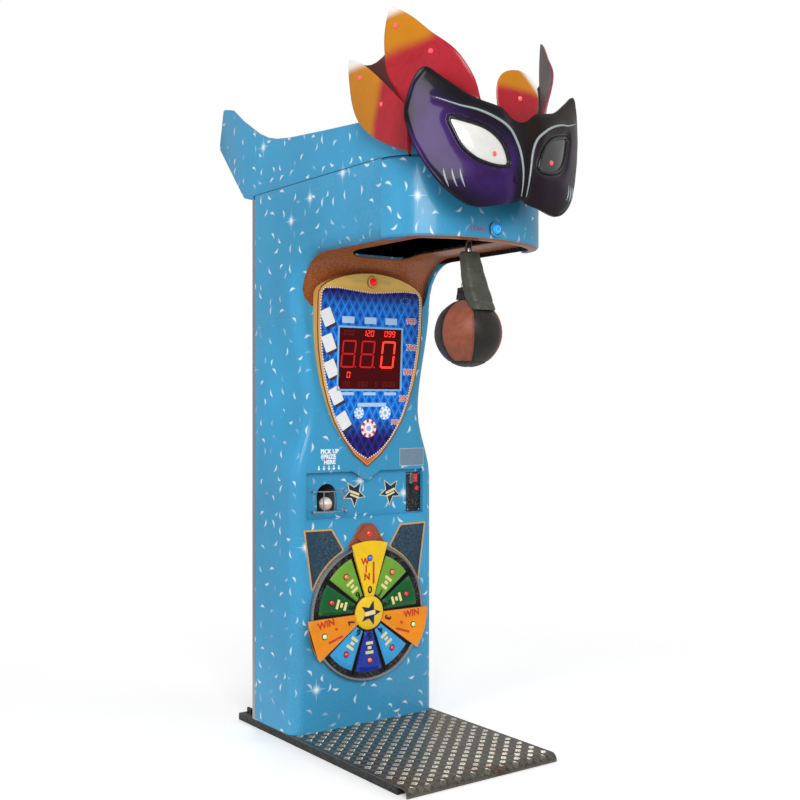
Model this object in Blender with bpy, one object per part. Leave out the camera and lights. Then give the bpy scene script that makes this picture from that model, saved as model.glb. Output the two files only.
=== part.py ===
"""Boxing punch machine: a cabinet on a tread plate, with a ball that swings up into an overhead arm.

Frame: metres, +Z up, origin on the floor at the centre of the platform. The front faces -Y.
"""

import math

import bmesh
import bpy
import numpy as np
from mathutils import Matrix, Vector

# Clearances
GAP = 0.0003            # between touching pieces
SLIDE_GAP = 0.0005      # round a piece that slides or turns

# Platform
HALF_WIDTH = 0.31
PLATFORM_HALF_LENGTH = 0.537
TREAD_TOP = 0.028
TREAD_THICKNESS = 0.003
LIP_RADIUS = 0.024
RAIL_WIDTH = 0.035
RAIL_SETBACK = 0.050
WHEEL_RADIUS = 0.030
WHEEL_LIFT = 0.003
WHEEL_WIDTH = 0.022
WHEEL_INSET = 0.035     # rail to wheel
STUB_RADIUS = 0.004

# Cabinet
FRONT_Y = 0.1345
CASING_BACK_Y = 0.410
BACK_Y = 0.430
SEAM_Z = 1.960
SPLIT_Z = 1.500
CORNER_RADIUS = 0.045
WALL = 0.006
WAIST_HALF_WIDTH = 0.255
WAIST_Z = 1.165
WAIST_LOW_Z = 0.915
WAIST_HIGH_Z = 1.580
SIDE_FLAT_DEPTH = 0.040
TRIM_WIDTH = 0.020
PANEL_THICKNESS = 0.005

# Arm
ARM_UNDERSIDE_Z = 1.712
COVE_RADIUS = 0.147
NOSE_START_Y = -0.400
NOSE_DEPTH = 0.185
LIP_WIDTH = 0.036
RECESS_DEPTH = 0.018
LINER_THICKNESS = 0.004
RECESS_LOW_Z = 1.505
COVE_FACETS = 8
SLOT_HALF_WIDTH = 0.135
SLOT_FRONT_Y = -0.490
SLOT_BACK_Y = 0.058

# Steelwork
MAST_HALF_WIDTH = 0.040
MAST_FRONT_Y = 0.330
MAST_BACK_Y = 0.390
BEAM_HALF_WIDTH = 0.030
BEAM_LOW_Z = 1.945
BEAM_HEIGHT = 0.050
BEAM_FRONT_Y = -0.550

# Swinging ball
PIVOT_Y = -0.450
PIVOT_Z = 1.810
SHAFT_RADIUS = 0.010
CHEEK_INNER_X = 0.050
CHEEK_THICKNESS = 0.005
BEARING_RADIUS = 0.018
ROD_RADIUS = 0.011
BALL_RADIUS = 0.111
BALL_DROP = 0.387       # pivot to the ball's centre
DISC_RADIUS = 0.045
DISC_X = 0.066
DISC_THICKNESS = 0.006
NOTCH_WIDTH = 0.010
NOTCH_DEPTH = 0.014
BOLT_RADIUS = 0.004
BOLT_TRAVEL = 0.010

# Display
SHIELD_LOW_Z = 0.963
SHIELD_TOP_Z = 1.667
SHIELD_LEAN = 0.048
SHIELD_FOOT_THICKNESS = 0.0045
WINDOW_HALF_WIDTH = 0.137
WINDOW_LOW_Z = 1.245
WINDOW_HIGH_Z = 1.466
WINDOW_THICKNESS = 0.003
SELECT_Z = 1.633
SELECT_RADIUS = 0.016

# Console
CONSOLE_HALF_WIDTH = 0.261
CONSOLE_LOW_Z = 0.778
CONSOLE_HIGH_Z = 0.952
CONSOLE_NOTCH_Z = 0.919
CONSOLE_NOTCH_HALF_WIDTH = 0.060
CONSOLE_DEPTH = 0.020
CONSOLE_WALL = 0.004
PRIZE_X = -0.160
PRIZE_HALF_WIDTH = 0.042
PRIZE_LOW_Z = 0.808
PRIZE_HIGH_Z = 0.906
CAPSULE_RADIUS = 0.025
WIRE_RADIUS = 0.0022
COIN_X = 0.2245
COIN_WIDTH = 0.063
COIN_LOW_Z = 0.788
COIN_HEIGHT = 0.147
COIN_PLATE_THICKNESS = 0.004
RETURN_HALF_WIDTH = 0.020
RETURN_HEIGHT = 0.036
REJECT_RADIUS = 0.009

# Lucky wheel
DIAL_Z = 0.432
DIAL_RING_RADIUS = 0.247
DIAL_RING_WIDTH = 0.011
DIAL_RING_DEPTH = 0.018
DIAL_FACE_DEPTH = 0.012
DIAL_SECTORS = 10
HUB_RADIUS = 0.061

# Back
DOOR_HALF_WIDTH = 0.240
DOOR_LOW_Z = 0.420
DOOR_HIGH_Z = 1.400
HINGE_PIN_RADIUS = 0.004
KNUCKLE_RADIUS = 0.0075
LOCK_RADIUS = 0.009
DRAWER_LEFT_X = 0.062
DRAWER_RIGHT_X = 0.280
DRAWER_HEIGHT = 0.230
DRAWER_FRONT_Y = 0.215
DRAWER_STEP_X = 0.208     # its lower right corner is stepped to pass over the transport wheel
DRAWER_STEP_Z = 0.070

# Front button
START_Z = 1.742
START_RADIUS = 0.0165

# Fairing and mask
FAIRING_INSET = 0.0025
EAR_THICKNESS = 0.022
ROOF_Z = 2.140          # top of the fairing's rear part, between its ears
ROOF_FRONT_Y = 0.200
MASK_HALF_WIDTH = 0.352
MASK_NOSE_Y = -0.735
MASK_THICKNESS = 0.014
PLUME_GAP = 0.0007      # curved mask back to a plume

COVE_Y = FRONT_Y - COVE_RADIUS
COVE_Z = ARM_UNDERSIDE_Z - COVE_RADIUS
TREAD_UNDERSIDE = TREAD_TOP - TREAD_THICKNESS
FLOOR_Z = TREAD_TOP + GAP
LINER_HALF_WIDTH = HALF_WIDTH - LIP_WIDTH
FAIRING_HALF_WIDTH = HALF_WIDTH - FAIRING_INSET
CHEEK_OUTER_X = CHEEK_INNER_X + CHEEK_THICKNESS
BALL_Z = PIVOT_Z - BALL_DROP
ROUND = 24


# ---------------------------------------------------------------- helpers

def clear_scene():
    for obj in list(bpy.data.objects):
        bpy.data.objects.remove(obj, do_unlink=True)


def material(name, colour, roughness=0.5, metallic=0.0):
    """A Principled material, made once for each name."""
    found = bpy.data.materials.get(name)
    if found:
        return found
    made = bpy.data.materials.new(name)
    made.use_nodes = True
    shader = made.node_tree.nodes["Principled BSDF"]
    shader.inputs["Base Color"].default_value = (*colour, 1.0)
    shader.inputs["Roughness"].default_value = roughness
    shader.inputs["Metallic"].default_value = metallic
    return made


def blue_gloss():
    return material("blue_gloss", (0.07, 0.37, 0.62), 0.25)


def black_steel():
    return material("black_steel", (0.02, 0.02, 0.022), 0.5, 0.4)


def bare_steel():
    return material("bare_steel", (0.55, 0.56, 0.57), 0.35, 1.0)


def chrome():
    return material("chrome", (0.75, 0.76, 0.77), 0.12, 1.0)


def grey_paint():
    return material("grey_paint", (0.30, 0.31, 0.32), 0.5)


def black_plastic():
    return material("black_plastic", (0.015, 0.015, 0.017), 0.35)


def finish_mesh(name, bm, look):
    """Turns a bmesh into a named object whose faces point out."""
    bmesh.ops.recalc_face_normals(bm, faces=bm.faces)
    mesh = bpy.data.meshes.new(name)
    bm.to_mesh(mesh)
    bm.free()
    mesh.shade_smooth()
    mesh.set_sharp_from_angle(angle=math.radians(35))
    obj = bpy.data.objects.new(name, mesh)
    bpy.context.scene.collection.objects.link(obj)
    if look:
        mesh.materials.append(look)
    return obj


def box(name, low, high, look=None):
    bm = bmesh.new()
    size = Vector(high) - Vector(low)
    middle = (Vector(high) + Vector(low)) / 2
    bmesh.ops.create_cube(bm, size=1.0, matrix=Matrix.Translation(middle) @ Matrix.Diagonal((*size, 1.0)))
    return finish_mesh(name, bm, look)


def loft(name, sections, look=None, paired=False):
    """Skins a row of loops with the same number of points. A paired loop runs out and back, and its ends are
    closed with a strip of quads between the two runs."""
    bm = bmesh.new()
    loops = [[bm.verts.new(point) for point in section] for section in sections]
    for one, two in zip(loops, loops[1:]):
        for i in range(len(one)):
            j = (i + 1) % len(one)
            bm.faces.new((one[i], one[j], two[j], two[i]))
    for end in (loops[0], loops[-1]):
        if not paired:
            bm.faces.new(end)
            continue
        for i in range(len(end) // 2 - 1):
            bm.faces.new((end[i], end[i + 1], end[-i - 2], end[-i - 1]))
    bmesh.ops.triangulate(bm, faces=[f for f in bm.faces if len(f.verts) > 4])
    return finish_mesh(name, bm, look)


def prism(name, outline, axis, start, end, look=None):
    """Extrudes a 2D outline along X (outline is y, z), Y (x, z) or Z (x, y)."""
    place = {
        "X": lambda a, b, t: (t, a, b),
        "Y": lambda a, b, t: (a, t, b),
        "Z": lambda a, b, t: (a, b, t),
    }[axis]
    return loft(name, [[place(a, b, t) for a, b in outline] for t in (start, end)], look)


def turned(name, profile, centre, axis, look=None, steps=ROUND):
    """Spins a closed profile of (radius, height) about an axis through centre. Radius 0 makes a solid end."""
    place = {
        "X": lambda r, h, c, s: (h, r * c, r * s),
        "Y": lambda r, h, c, s: (r * c, h, r * s),
        "Z": lambda r, h, c, s: (r * c, r * s, h),
    }[axis]
    bm = bmesh.new()
    rings = []
    for radius, height in profile:
        if radius == 0:
            point = Vector(centre) + Vector(place(0, height, 0, 0))
            rings.append([bm.verts.new(point)])
            continue
        ring = []
        for i in range(steps):
            angle = 2 * math.pi * i / steps
            point = Vector(centre) + Vector(place(radius, height, math.cos(angle), math.sin(angle)))
            ring.append(bm.verts.new(point))
        rings.append(ring)
    pairs = list(zip(rings, rings[1:]))
    if profile[0][0] > 0:
        pairs.append((rings[-1], rings[0]))
    for one, two in pairs:
        for i in range(steps):
            j = (i + 1) % steps
            corners = [one[i % len(one)], one[j % len(one)], two[j % len(two)], two[i % len(two)]]
            bm.faces.new(list(dict.fromkeys(corners)))
    return finish_mesh(name, bm, look)


def rod(name, start, end, radius, look=None, steps=12):
    """A round bar between two points."""
    return tube_along(name, [start, end], radius, look, steps)


def tube_along(name, points, radius, look=None, steps=8):
    """A round wire that follows a row of points."""
    points = [Vector(p) for p in points]
    ahead = (points[1] - points[0]).normalized()
    side = ahead.orthogonal().normalized()
    sections = []
    for i, point in enumerate(points):
        before = points[max(i - 1, 0)]
        after = points[min(i + 1, len(points) - 1)]
        turn = ahead.rotation_difference((after - before).normalized())
        ahead = (after - before).normalized()
        side = turn @ side
        up = ahead.cross(side)
        ring = [2 * math.pi * k / steps for k in range(steps)]
        sections.append([point + radius * (math.cos(a) * side + math.sin(a) * up) for a in ring])
    return loft(name, sections, look)


def change(target, tool, operation):
    """Adds an exact Boolean, and keeps its tool out of the model."""
    step = target.modifiers.new(tool.name, "BOOLEAN")
    step.object = tool
    step.operation = operation
    step.solver = "EXACT"
    tool.hide_render = True
    tool.display_type = "WIRE"
    return target


def cut(target, tool):
    return change(target, tool, "DIFFERENCE")


def join(target, tool):
    return change(target, tool, "UNION")


def round_edges(obj, width, segments=2, angle=40):
    step = obj.modifiers.new("rounded_edges", "BEVEL")
    step.width = width
    step.segments = segments
    step.limit_method = "ANGLE"
    step.angle_limit = math.radians(angle)
    return obj


def smoothstep(t):
    t = min(max(t, 0.0), 1.0)
    return t * t * (3 - 2 * t)


def arc(centre, radius, start, end, steps):
    """Points on an arc, angles in degrees."""
    turns = [math.radians(start + (end - start) * i / steps) for i in range(steps + 1)]
    return [(centre[0] + radius * math.cos(a), centre[1] + radius * math.sin(a)) for a in turns]


def mirrored(outline):
    """Adds the left half to an outline of the right half that starts and ends at x = 0."""
    return outline + [(-x, z) for x, z in reversed(outline) if abs(x) > 1e-9]


def shrunk(outline, distance):
    """The outline moved inwards by a distance, for an outline that runs anticlockwise."""
    moved = []
    count = len(outline)
    for i in range(count):
        before, here, after = (Vector(outline[(i + k) % count]) for k in (-1, 0, 1))
        one = (here - before).normalized()
        two = (after - here).normalized()
        inward = Vector((-one.y - two.y, one.x + two.x)).normalized()
        reach = distance / max(inward.dot(Vector((-one.y, one.x))), 0.3)
        moved.append(tuple(here + inward * reach))
    return moved


# ---------------------------------------------------------------- platform

def build_platform():
    inner = HALF_WIDTH - RAIL_WIDTH - GAP
    front = -PLATFORM_HALF_LENGTH + RAIL_SETBACK
    top = TREAD_UNDERSIDE - GAP
    frame = box("base_frame", (-inner, front, 0), (inner, CASING_BACK_Y, top), black_steel())
    rows, columns, rib, floor = 4, 2, 0.008, 0.003
    pocket_w = (2 * inner - (columns + 1) * rib) / columns
    pocket_l = (CASING_BACK_Y - front - (rows + 1) * rib) / rows
    for row in range(rows):
        for column in range(columns):
            x = -inner + rib + column * (pocket_w + rib)
            y = front + rib + row * (pocket_l + rib)
            pocket = box(f"pocket_{row}_{column}", (x, y, floor), (x + pocket_w, y + pocket_l, top + 0.01))
            cut(frame, pocket)
    tread_plate()
    for side, name in ((-1, "left"), (1, "right")):
        rail(side, name)


def tread_plate():
    """The plate bends down to the floor at its front edge."""
    inner_radius = LIP_RADIUS - TREAD_THICKNESS
    centre = (-PLATFORM_HALF_LENGTH + LIP_RADIUS, TREAD_TOP - LIP_RADIUS)
    outline = [(CASING_BACK_Y + TRIM_WIDTH, TREAD_TOP)]
    outline += arc(centre, LIP_RADIUS, 90, 180, 6)
    outline += [(centre[0] - LIP_RADIUS, 0.001), (centre[0] - inner_radius, 0.001)]
    outline += arc(centre, inner_radius, 180, 90, 6)
    outline += [(CASING_BACK_Y + TRIM_WIDTH, TREAD_UNDERSIDE)]
    look = material("tread_plate", (0.60, 0.61, 0.62), 0.35, 1.0)
    prism("tread_plate", outline, "X", -HALF_WIDTH, HALF_WIDTH, look)


def rail(side, name):
    """A side rail that runs out behind the cabinet and carries a transport wheel on a stub."""
    outer = side * HALF_WIDTH
    inner = side * (HALF_WIDTH - RAIL_WIDTH)
    ear = side * (HALF_WIDTH - RAIL_WIDTH + 0.008)
    wheel_y = PLATFORM_HALF_LENGTH - WHEEL_RADIUS
    wheel_z = WHEEL_RADIUS + WHEEL_LIFT
    front = -PLATFORM_HALF_LENGTH + RAIL_SETBACK
    low = (min(outer, inner), front, 0)
    high = (max(outer, inner), PLATFORM_HALF_LENGTH, TREAD_UNDERSIDE - GAP)
    bar = box(f"{name}_rail", low, high, black_steel())
    plate_low = (min(inner, ear), wheel_y - 0.016, 0.004)
    plate_high = (max(inner, ear), wheel_y + 0.016, wheel_z + 0.012)
    join(bar, box(f"{name}_ear", plate_low, plate_high))
    near = inner - side * WHEEL_INSET
    tip = near - side * (WHEEL_WIDTH + 2 * SLIDE_GAP)
    far_end = tip - side * 0.003
    join(bar, rod(f"{name}_stub", (ear, wheel_y, wheel_z), (far_end, wheel_y, wheel_z), STUB_RADIUS, steps=16))
    shoulder = near + side * SLIDE_GAP
    join(bar, rod(f"{name}_shoulder", (inner, wheel_y, wheel_z), (shoulder, wheel_y, wheel_z), 0.009, steps=16))
    join(bar, rod(f"{name}_stub_cap", (tip, wheel_y, wheel_z), (far_end, wheel_y, wheel_z), 0.009, steps=16))
    far = near - side * WHEEL_WIDTH
    bore = STUB_RADIUS + SLIDE_GAP
    soft = WHEEL_RADIUS - 0.003
    profile = [(bore, near), (soft, near), (WHEEL_RADIUS, near - side * 0.003),
               (WHEEL_RADIUS, far + side * 0.003), (soft, far), (bore, far)]
    rubber = material("grey_rubber", (0.12, 0.12, 0.12), 0.8)
    turned(f"{name}_wheel", profile, (0, wheel_y, wheel_z), "X", rubber)


# ---------------------------------------------------------------- cabinet shell

def half_width(z):
    """Half the cabinet's width at its front corners, which draw in at the waist."""
    if z < WAIST_Z:
        draw = smoothstep((z - WAIST_LOW_Z) / (WAIST_Z - WAIST_LOW_Z))
    else:
        draw = 1 - smoothstep((z - WAIST_Z) / (WAIST_HIGH_Z - WAIST_Z))
    return HALF_WIDTH - (HALF_WIDTH - WAIST_HALF_WIDTH) * draw


def channel(width, depth, web):
    """Half of the shell's section as (x, depth from the front skin): outer skin, then inner skin."""
    flat = max(depth - SIDE_FLAT_DEPTH, CORNER_RADIUS + 0.02)
    centre = (width - CORNER_RADIUS, CORNER_RADIUS)
    corner = arc(centre, CORNER_RADIUS, 270, 360, 5)
    inner_corner = arc(centre, CORNER_RADIUS - WALL, 270, 360, 5)
    outer = [(0.0, 0.0), *corner]
    inner = [(0.0, web), *[(x, max(d, web)) for x, d in inner_corner]]
    for i in (1, 2, 3, 4):
        d = CORNER_RADIUS + (flat - CORNER_RADIUS) * i / 4
        x = width + (HALF_WIDTH - width) * smoothstep(i / 4)
        outer.append((x, d))
        inner.append((x - WALL, d))
    outer.append((HALF_WIDTH, depth))
    inner.append((HALF_WIDTH - WALL, depth))
    return outer, inner


def shell_section(width, depth, web, place):
    """The whole closed section, from the left back edge round the front to the right back edge and back."""
    outer, inner = channel(width, depth, web)
    skin = [(-x, d) for x, d in reversed(outer)] + outer[1:]
    lining = [(-x, d) for x, d in reversed(inner)] + inner[1:]
    return [place(x, d) for x, d in skin + lining[::-1]]


def upright(z):
    return lambda x, d: (x, FRONT_Y + d, z)


def in_cove(angle):
    """A section plane that turns with the cove, from level at the front to upright under the arm."""
    c, s = math.cos(angle), math.sin(angle)
    return lambda x, d: (x, COVE_Y + (COVE_RADIUS + d) * c, COVE_Z + (COVE_RADIUS + d) * s)


def under_arm(y):
    return lambda x, d: (x, y, ARM_UNDERSIDE_Z + d)


def cove_depth(angle, top):
    """How far the section runs from the cove's skin to the back edge or to the seam."""
    reach = (CASING_BACK_Y - COVE_Y) / max(math.cos(angle), 1e-6)
    rise = (top - COVE_Z) / max(math.sin(angle), 1e-6)
    return min(reach, rise) - COVE_RADIUS


def build_pillar_casing():
    depth = CASING_BACK_Y - FRONT_Y
    levels = [FLOOR_Z, 0.60, WAIST_LOW_Z, 0.96, 1.00, 1.04, 1.08, 1.12, WAIST_Z,
              1.21, 1.26, 1.31, 1.36, 1.41, 1.455, SPLIT_Z - GAP / 2]
    sections = [shell_section(half_width(z), depth, WALL, upright(z)) for z in levels]
    casing = loft("pillar_casing", sections, blue_gloss(), paired=True)
    opening = shrunk(console_outline(), -GAP)
    cut(casing, prism("console_opening", opening, "Y", FRONT_Y - 0.02, FRONT_Y + 0.03))
    margin = 0.008
    low = (-WINDOW_HALF_WIDTH - margin, FRONT_Y - 0.02, WINDOW_LOW_Z - margin)
    high = (WINDOW_HALF_WIDTH + margin, FRONT_Y + 0.03, WINDOW_HIGH_Z + margin)
    cut(casing, box("display_opening", low, high))


def build_arm_casing():
    """The upper pillar, the cove and the arm's sides in one moulding."""
    top = SEAM_Z - GAP
    web = RECESS_DEPTH + LINER_THICKNESS + GAP + WALL
    depth = CASING_BACK_Y - FRONT_Y
    sections = []
    for z in (SPLIT_Z + GAP / 2, (SPLIT_Z + COVE_Z) / 2, COVE_Z):
        sections.append(shell_section(half_width(z), depth, web, upright(z)))
    corner = math.atan2(top - COVE_Z, CASING_BACK_Y - COVE_Y)
    turns = [corner / 3, corner * 2 / 3, corner]
    turns += [corner + (math.pi / 2 - corner) * i / 4 for i in (1, 2, 3)]
    for turn in turns:
        sections.append(shell_section(HALF_WIDTH - 0.0001, cove_depth(turn, top), web, in_cove(turn)))
    for y in (COVE_Y, (COVE_Y + NOSE_START_Y) / 2, NOSE_START_Y):
        sections.append(shell_section(HALF_WIDTH - 0.0001, top - ARM_UNDERSIDE_Z, web, under_arm(y)))
    casing = loft("arm_casing", sections, blue_gloss(), paired=True)
    pocket = RECESS_DEPTH + LINER_THICKNESS + GAP
    cut(casing, curved_sheet("liner_pocket", -0.03, pocket, GAP))
    cut(casing, slot_cutter("casing_slot"))


def liner_half_width(z_or_y, upper):
    """The brown liner's half width: rounded at its lower end and round the nose."""
    if upper:
        reach = (NOSE_START_Y - z_or_y) / (NOSE_DEPTH - LIP_WIDTH - 0.001)
        reach = max(reach, 0.0)
        return LINER_HALF_WIDTH * math.sqrt(max(1 - reach ** 2, 0.0)) - min(4 * reach, 1) * 0.001
    reach = (COVE_Z + 0.055 - z_or_y) / (COVE_Z + 0.055 - RECESS_LOW_Z)
    shoulder = half_width(z_or_y) - LIP_WIDTH
    return shoulder * (1 - min(max(reach, 0), 0.999) ** 3) ** (1 / 3)


def curved_sheet(name, near, far, grow, look=None):
    """A sheet that follows the pillar, the cove and the arm's underside, between two depths."""
    stations = []
    for z in (RECESS_LOW_Z - grow, 1.512, 1.522, 1.540, COVE_Z):
        stations.append((liner_half_width(z, False), upright(z)))
    for i in range(1, COVE_FACETS + 1):
        stations.append((LINER_HALF_WIDTH, in_cove(math.pi / 2 * i / COVE_FACETS)))
    for y in (NOSE_START_Y, -0.45, -0.49, -0.52, -0.54, -0.5475):
        stations.append((liner_half_width(y, True), under_arm(y)))
    sections = []
    for half, place in stations:
        half = half - GAP + grow
        sections.append([place(-half, near), place(half, near), place(half, far), place(-half, far)])
    return loft(name, sections, look)


def slot_cutter(name):
    """The opening that the ball swings up through, with rounded corners."""
    r = 0.05
    front, back, side = SLOT_FRONT_Y, SLOT_BACK_Y, SLOT_HALF_WIDTH
    outline = arc((side - r, back - r), r, 0, 90, 4) + arc((-side + r, back - r), r, 90, 180, 4)
    outline += arc((-side + r, front + r), r, 180, 270, 4) + arc((side - r, front + r), r, 270, 360, 4)
    return prism(name, outline, "Z", ARM_UNDERSIDE_Z - 0.1, ARM_UNDERSIDE_Z + 0.06)


def build_cove_liner():
    brown = material("brown_gloss", (0.24, 0.075, 0.025), 0.35)
    liner = curved_sheet("cove_liner", RECESS_DEPTH, RECESS_DEPTH + LINER_THICKNESS, 0, brown)
    cut(liner, slot_cutter("liner_slot"))


def nose_line(inset, steps=20):
    """Half an ellipse round the front of the arm, from the right side to the left, as (x, y)."""
    points = []
    for i in range(steps + 1):
        angle = math.pi * i / steps
        x = (HALF_WIDTH - inset) * math.cos(angle)
        points.append((x, NOSE_START_Y - GAP - (NOSE_DEPTH - inset) * math.sin(angle)))
    return points


def build_arm_nose():
    """The arm's rounded front, with a turned-in lip below that meets the liner."""
    flange = LIP_WIDTH
    low = ARM_UNDERSIDE_Z
    shelf = low + RECESS_DEPTH + LINER_THICKNESS
    rings = [(low - 0.004, 0.014, flange), (low - 0.001, 0.005, flange), (low + 0.006, 0.0, flange),
             (shelf, 0.0, flange), (shelf + 0.006, 0.0, WALL), (SEAM_Z - 0.03, 0.0, WALL),
             (SEAM_Z - 0.008, 0.003, WALL + 0.003), (SEAM_Z - GAP, 0.010, WALL + 0.010)]
    sections = []
    for z, outer, inner in rings:
        loop = nose_line(outer) + nose_line(inner)[::-1]
        sections.append([(x, y, z) for x, y in loop])
    nose = loft("arm_nose", sections, blue_gloss(), paired=True)
    front = NOSE_START_Y - NOSE_DEPTH
    bezel = [(0.018, front - 0.008), (0.025, front - 0.006), (0.025, front + 0.012), (0.018, front + 0.012)]
    join(nose, turned("start_bezel", bezel, (0, 0, START_Z), "Y"))
    hole = rod("start_hole", (0, front - 0.02, START_Z), (0, front + 0.030, START_Z), START_RADIUS + SLIDE_GAP,
               steps=ROUND)
    cut(nose, hole)


def fairing_outline():
    """Side view of the top fairing, anticlockwise seen from the right, as (y, z)."""
    fin = [(0.4305, SEAM_Z - 0.015), (0.511, SEAM_Z + 0.005), (0.711, 2.186), (0.675, 2.333), (0.622, 2.321),
           (0.540, 2.264), (0.478, 2.229), (0.415, 2.193), (0.349, 2.166), (0.270, 2.146), (0.183, 2.134)]
    front = [(-0.050, 2.115), (-0.262, 2.100), (-0.500, 2.085), (-0.640, 2.070)]
    return [(-0.640, SEAM_Z - 0.05), (CASING_BACK_Y + 0.01, SEAM_Z - 0.05)] + fin + front


def plan_outline(inset):
    """Plan of the fairing: square at the back, round at the front, as (x, y)."""
    grow = HALF_WIDTH - FAIRING_HALF_WIDTH + inset
    points = [(x, y) for x, y in nose_line(grow)]
    return points + [(-HALF_WIDTH + grow, 0.80), (HALF_WIDTH - grow, 0.80)]


def build_top_fairing():
    outline = fairing_outline()
    side = HALF_WIDTH
    fairing = prism("top_fairing", outline, "X", -side, side, blue_gloss())
    change(fairing, prism("fairing_plan", plan_outline(0), "Z", 1.8, 2.5), "INTERSECT")
    round_edges(fairing, 0.010)
    inner = shrunk(outline, WALL)
    inner[0] = (inner[0][0], SEAM_Z - 0.05)
    inner[1] = (CASING_BACK_Y, SEAM_Z - 0.05)
    inner[2] = (CASING_BACK_Y, SEAM_Z + 0.012)
    hollow = prism("fairing_hollow", inner, "X", -side, side)
    change(hollow, prism("hollow_plan", plan_outline(WALL), "Z", 1.8, 2.5), "INTERSECT")
    cut(hollow, box("roof_wall", (-0.4, ROOF_FRONT_Y - WALL, ROOF_Z - WALL), (0.4, 0.8, 2.5)))
    cut(fairing, hollow)
    inner_x = FAIRING_HALF_WIDTH - EAR_THICKNESS
    cut(fairing, box("between_ears", (-inner_x, ROOF_FRONT_Y, ROOF_Z), (inner_x, 0.8, 2.5)))
    cut(fairing, box("fairing_foot", (-0.4, -0.8, SEAM_Z - 0.2), (0.4, BACK_Y + 0.0005, SEAM_Z + GAP)))


# ---------------------------------------------------------------- back of the cabinet

def build_back():
    silver = material("aluminium", (0.70, 0.71, 0.72), 0.35, 1.0)
    top = SEAM_Z - 0.0155
    edge = HALF_WIDTH - TRIM_WIDTH
    low_y, high_y = CASING_BACK_Y + GAP, BACK_Y
    box("left_trim", (-HALF_WIDTH - 0.0005, low_y, FLOOR_Z), (-edge, high_y, top), silver)
    box("right_trim", (edge, low_y, FLOOR_Z), (HALF_WIDTH + 0.0005, high_y, top), silver)
    rear_panel(edge - GAP, top)
    back_door()
    cash_box()


def panel_faces():
    near = CASING_BACK_Y + 0.003
    return near, near + PANEL_THICKNESS


def hinge_line():
    """The pin's axis, just outside the panel at the door's left edge."""
    near, far = panel_faces()
    return -DOOR_HALF_WIDTH - 0.006, far + KNUCKLE_RADIUS + GAP


def knuckle_levels():
    """The hinge's knuckles from bottom to top, each as (low, high)."""
    count, length = 5, 0.060
    pitch = (DOOR_HIGH_Z - DOOR_LOW_Z - 0.12 - length) / (count - 1)
    starts = [DOOR_LOW_Z + 0.06 + pitch * i for i in range(count)]
    return [(z, z + length) for z in starts]


def rear_panel(edge, top):
    near, far = panel_faces()
    steel = material("grey_back_panel", (0.10, 0.10, 0.105), 0.55)
    panel = box("rear_panel", (-edge, near, FLOOR_Z), (edge, far, top), steel)
    door_low = (-DOOR_HALF_WIDTH, near - 0.02, DOOR_LOW_Z)
    cut(panel, box("door_opening", door_low, (DOOR_HALF_WIDTH, far + 0.02, DOOR_HIGH_Z)))
    drawer_low = (DRAWER_LEFT_X, near - 0.02, DRAWER_STEP_Z)
    cut(panel, box("drawer_opening", drawer_low, (DRAWER_RIGHT_X, far + 0.02, FLOOR_Z + DRAWER_HEIGHT)))
    foot_low = (DRAWER_LEFT_X, near - 0.02, FLOOR_Z - 0.01)
    cut(panel, box("drawer_foot_opening", foot_low, (DRAWER_STEP_X, far + 0.02, DRAWER_STEP_Z + 0.001)))
    inlet_low = (-0.214, near - 0.02, 0.106)
    cut(panel, box("inlet_opening", inlet_low, (-0.186, far + 0.02, 0.134)))
    pin_x, pin_y = hinge_line()
    for i, (low, high) in enumerate(knuckle_levels()):
        if i % 2 == 0:
            continue
        arm = box(f"panel_leaf_{i}", (pin_x - 0.012, far - 0.001, low), (pin_x, far + 0.002, high))
        join(panel, arm)
        join(panel, rod(f"panel_knuckle_{i}", (pin_x, pin_y, low), (pin_x, pin_y, high), KNUCKLE_RADIUS))
    bore = HINGE_PIN_RADIUS + SLIDE_GAP
    cut(panel, rod("panel_pin_bore", (pin_x, pin_y, 0.3), (pin_x, pin_y, 1.5), bore, steps=16))


def back_door():
    """A louvred service door with knuckles on its left edge and a cam lock on its right."""
    near, far = panel_faces()
    clear = 0.0015
    left, right = -DOOR_HALF_WIDTH + clear, DOOR_HALF_WIDTH - clear
    steel = material("grey_back_door", (0.12, 0.12, 0.125), 0.5)
    door = box("back_door", (left, near, DOOR_LOW_Z + clear), (right, far, DOOR_HIGH_Z - clear), steel)
    for i in range(5):
        z = DOOR_HIGH_Z - 0.12 - 0.035 * i
        cut(door, box(f"louvre_{i}", (-0.12, near - 0.01, z), (0.12, far + 0.01, z + 0.010)))
    pin_x, pin_y = hinge_line()
    for i, (low, high) in enumerate(knuckle_levels()):
        if i % 2 == 1:
            continue
        join(door, box(f"door_leaf_{i}", (pin_x, far + GAP, low), (left + 0.014, far + 0.0025, high)))
        join(door, box(f"door_pad_{i}", (left + 0.002, far - 0.001, low), (left + 0.013, far + 0.002, high)))
        join(door, rod(f"door_knuckle_{i}", (pin_x, pin_y, low), (pin_x, pin_y, high), KNUCKLE_RADIUS))
    bore = HINGE_PIN_RADIUS + SLIDE_GAP
    cut(door, rod("door_pin_bore", (pin_x, pin_y, 0.3), (pin_x, pin_y, 1.5), bore, steps=16))
    first, last = knuckle_levels()[0], knuckle_levels()[-1]
    rod("hinge_pin", (pin_x, pin_y, first[0] - 0.003), (pin_x, pin_y, last[1] + 0.003), HINGE_PIN_RADIUS,
        bare_steel(), steps=16)
    door_lock(door, right - 0.026, (DOOR_LOW_Z + DOOR_HIGH_Z) / 2)


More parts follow.
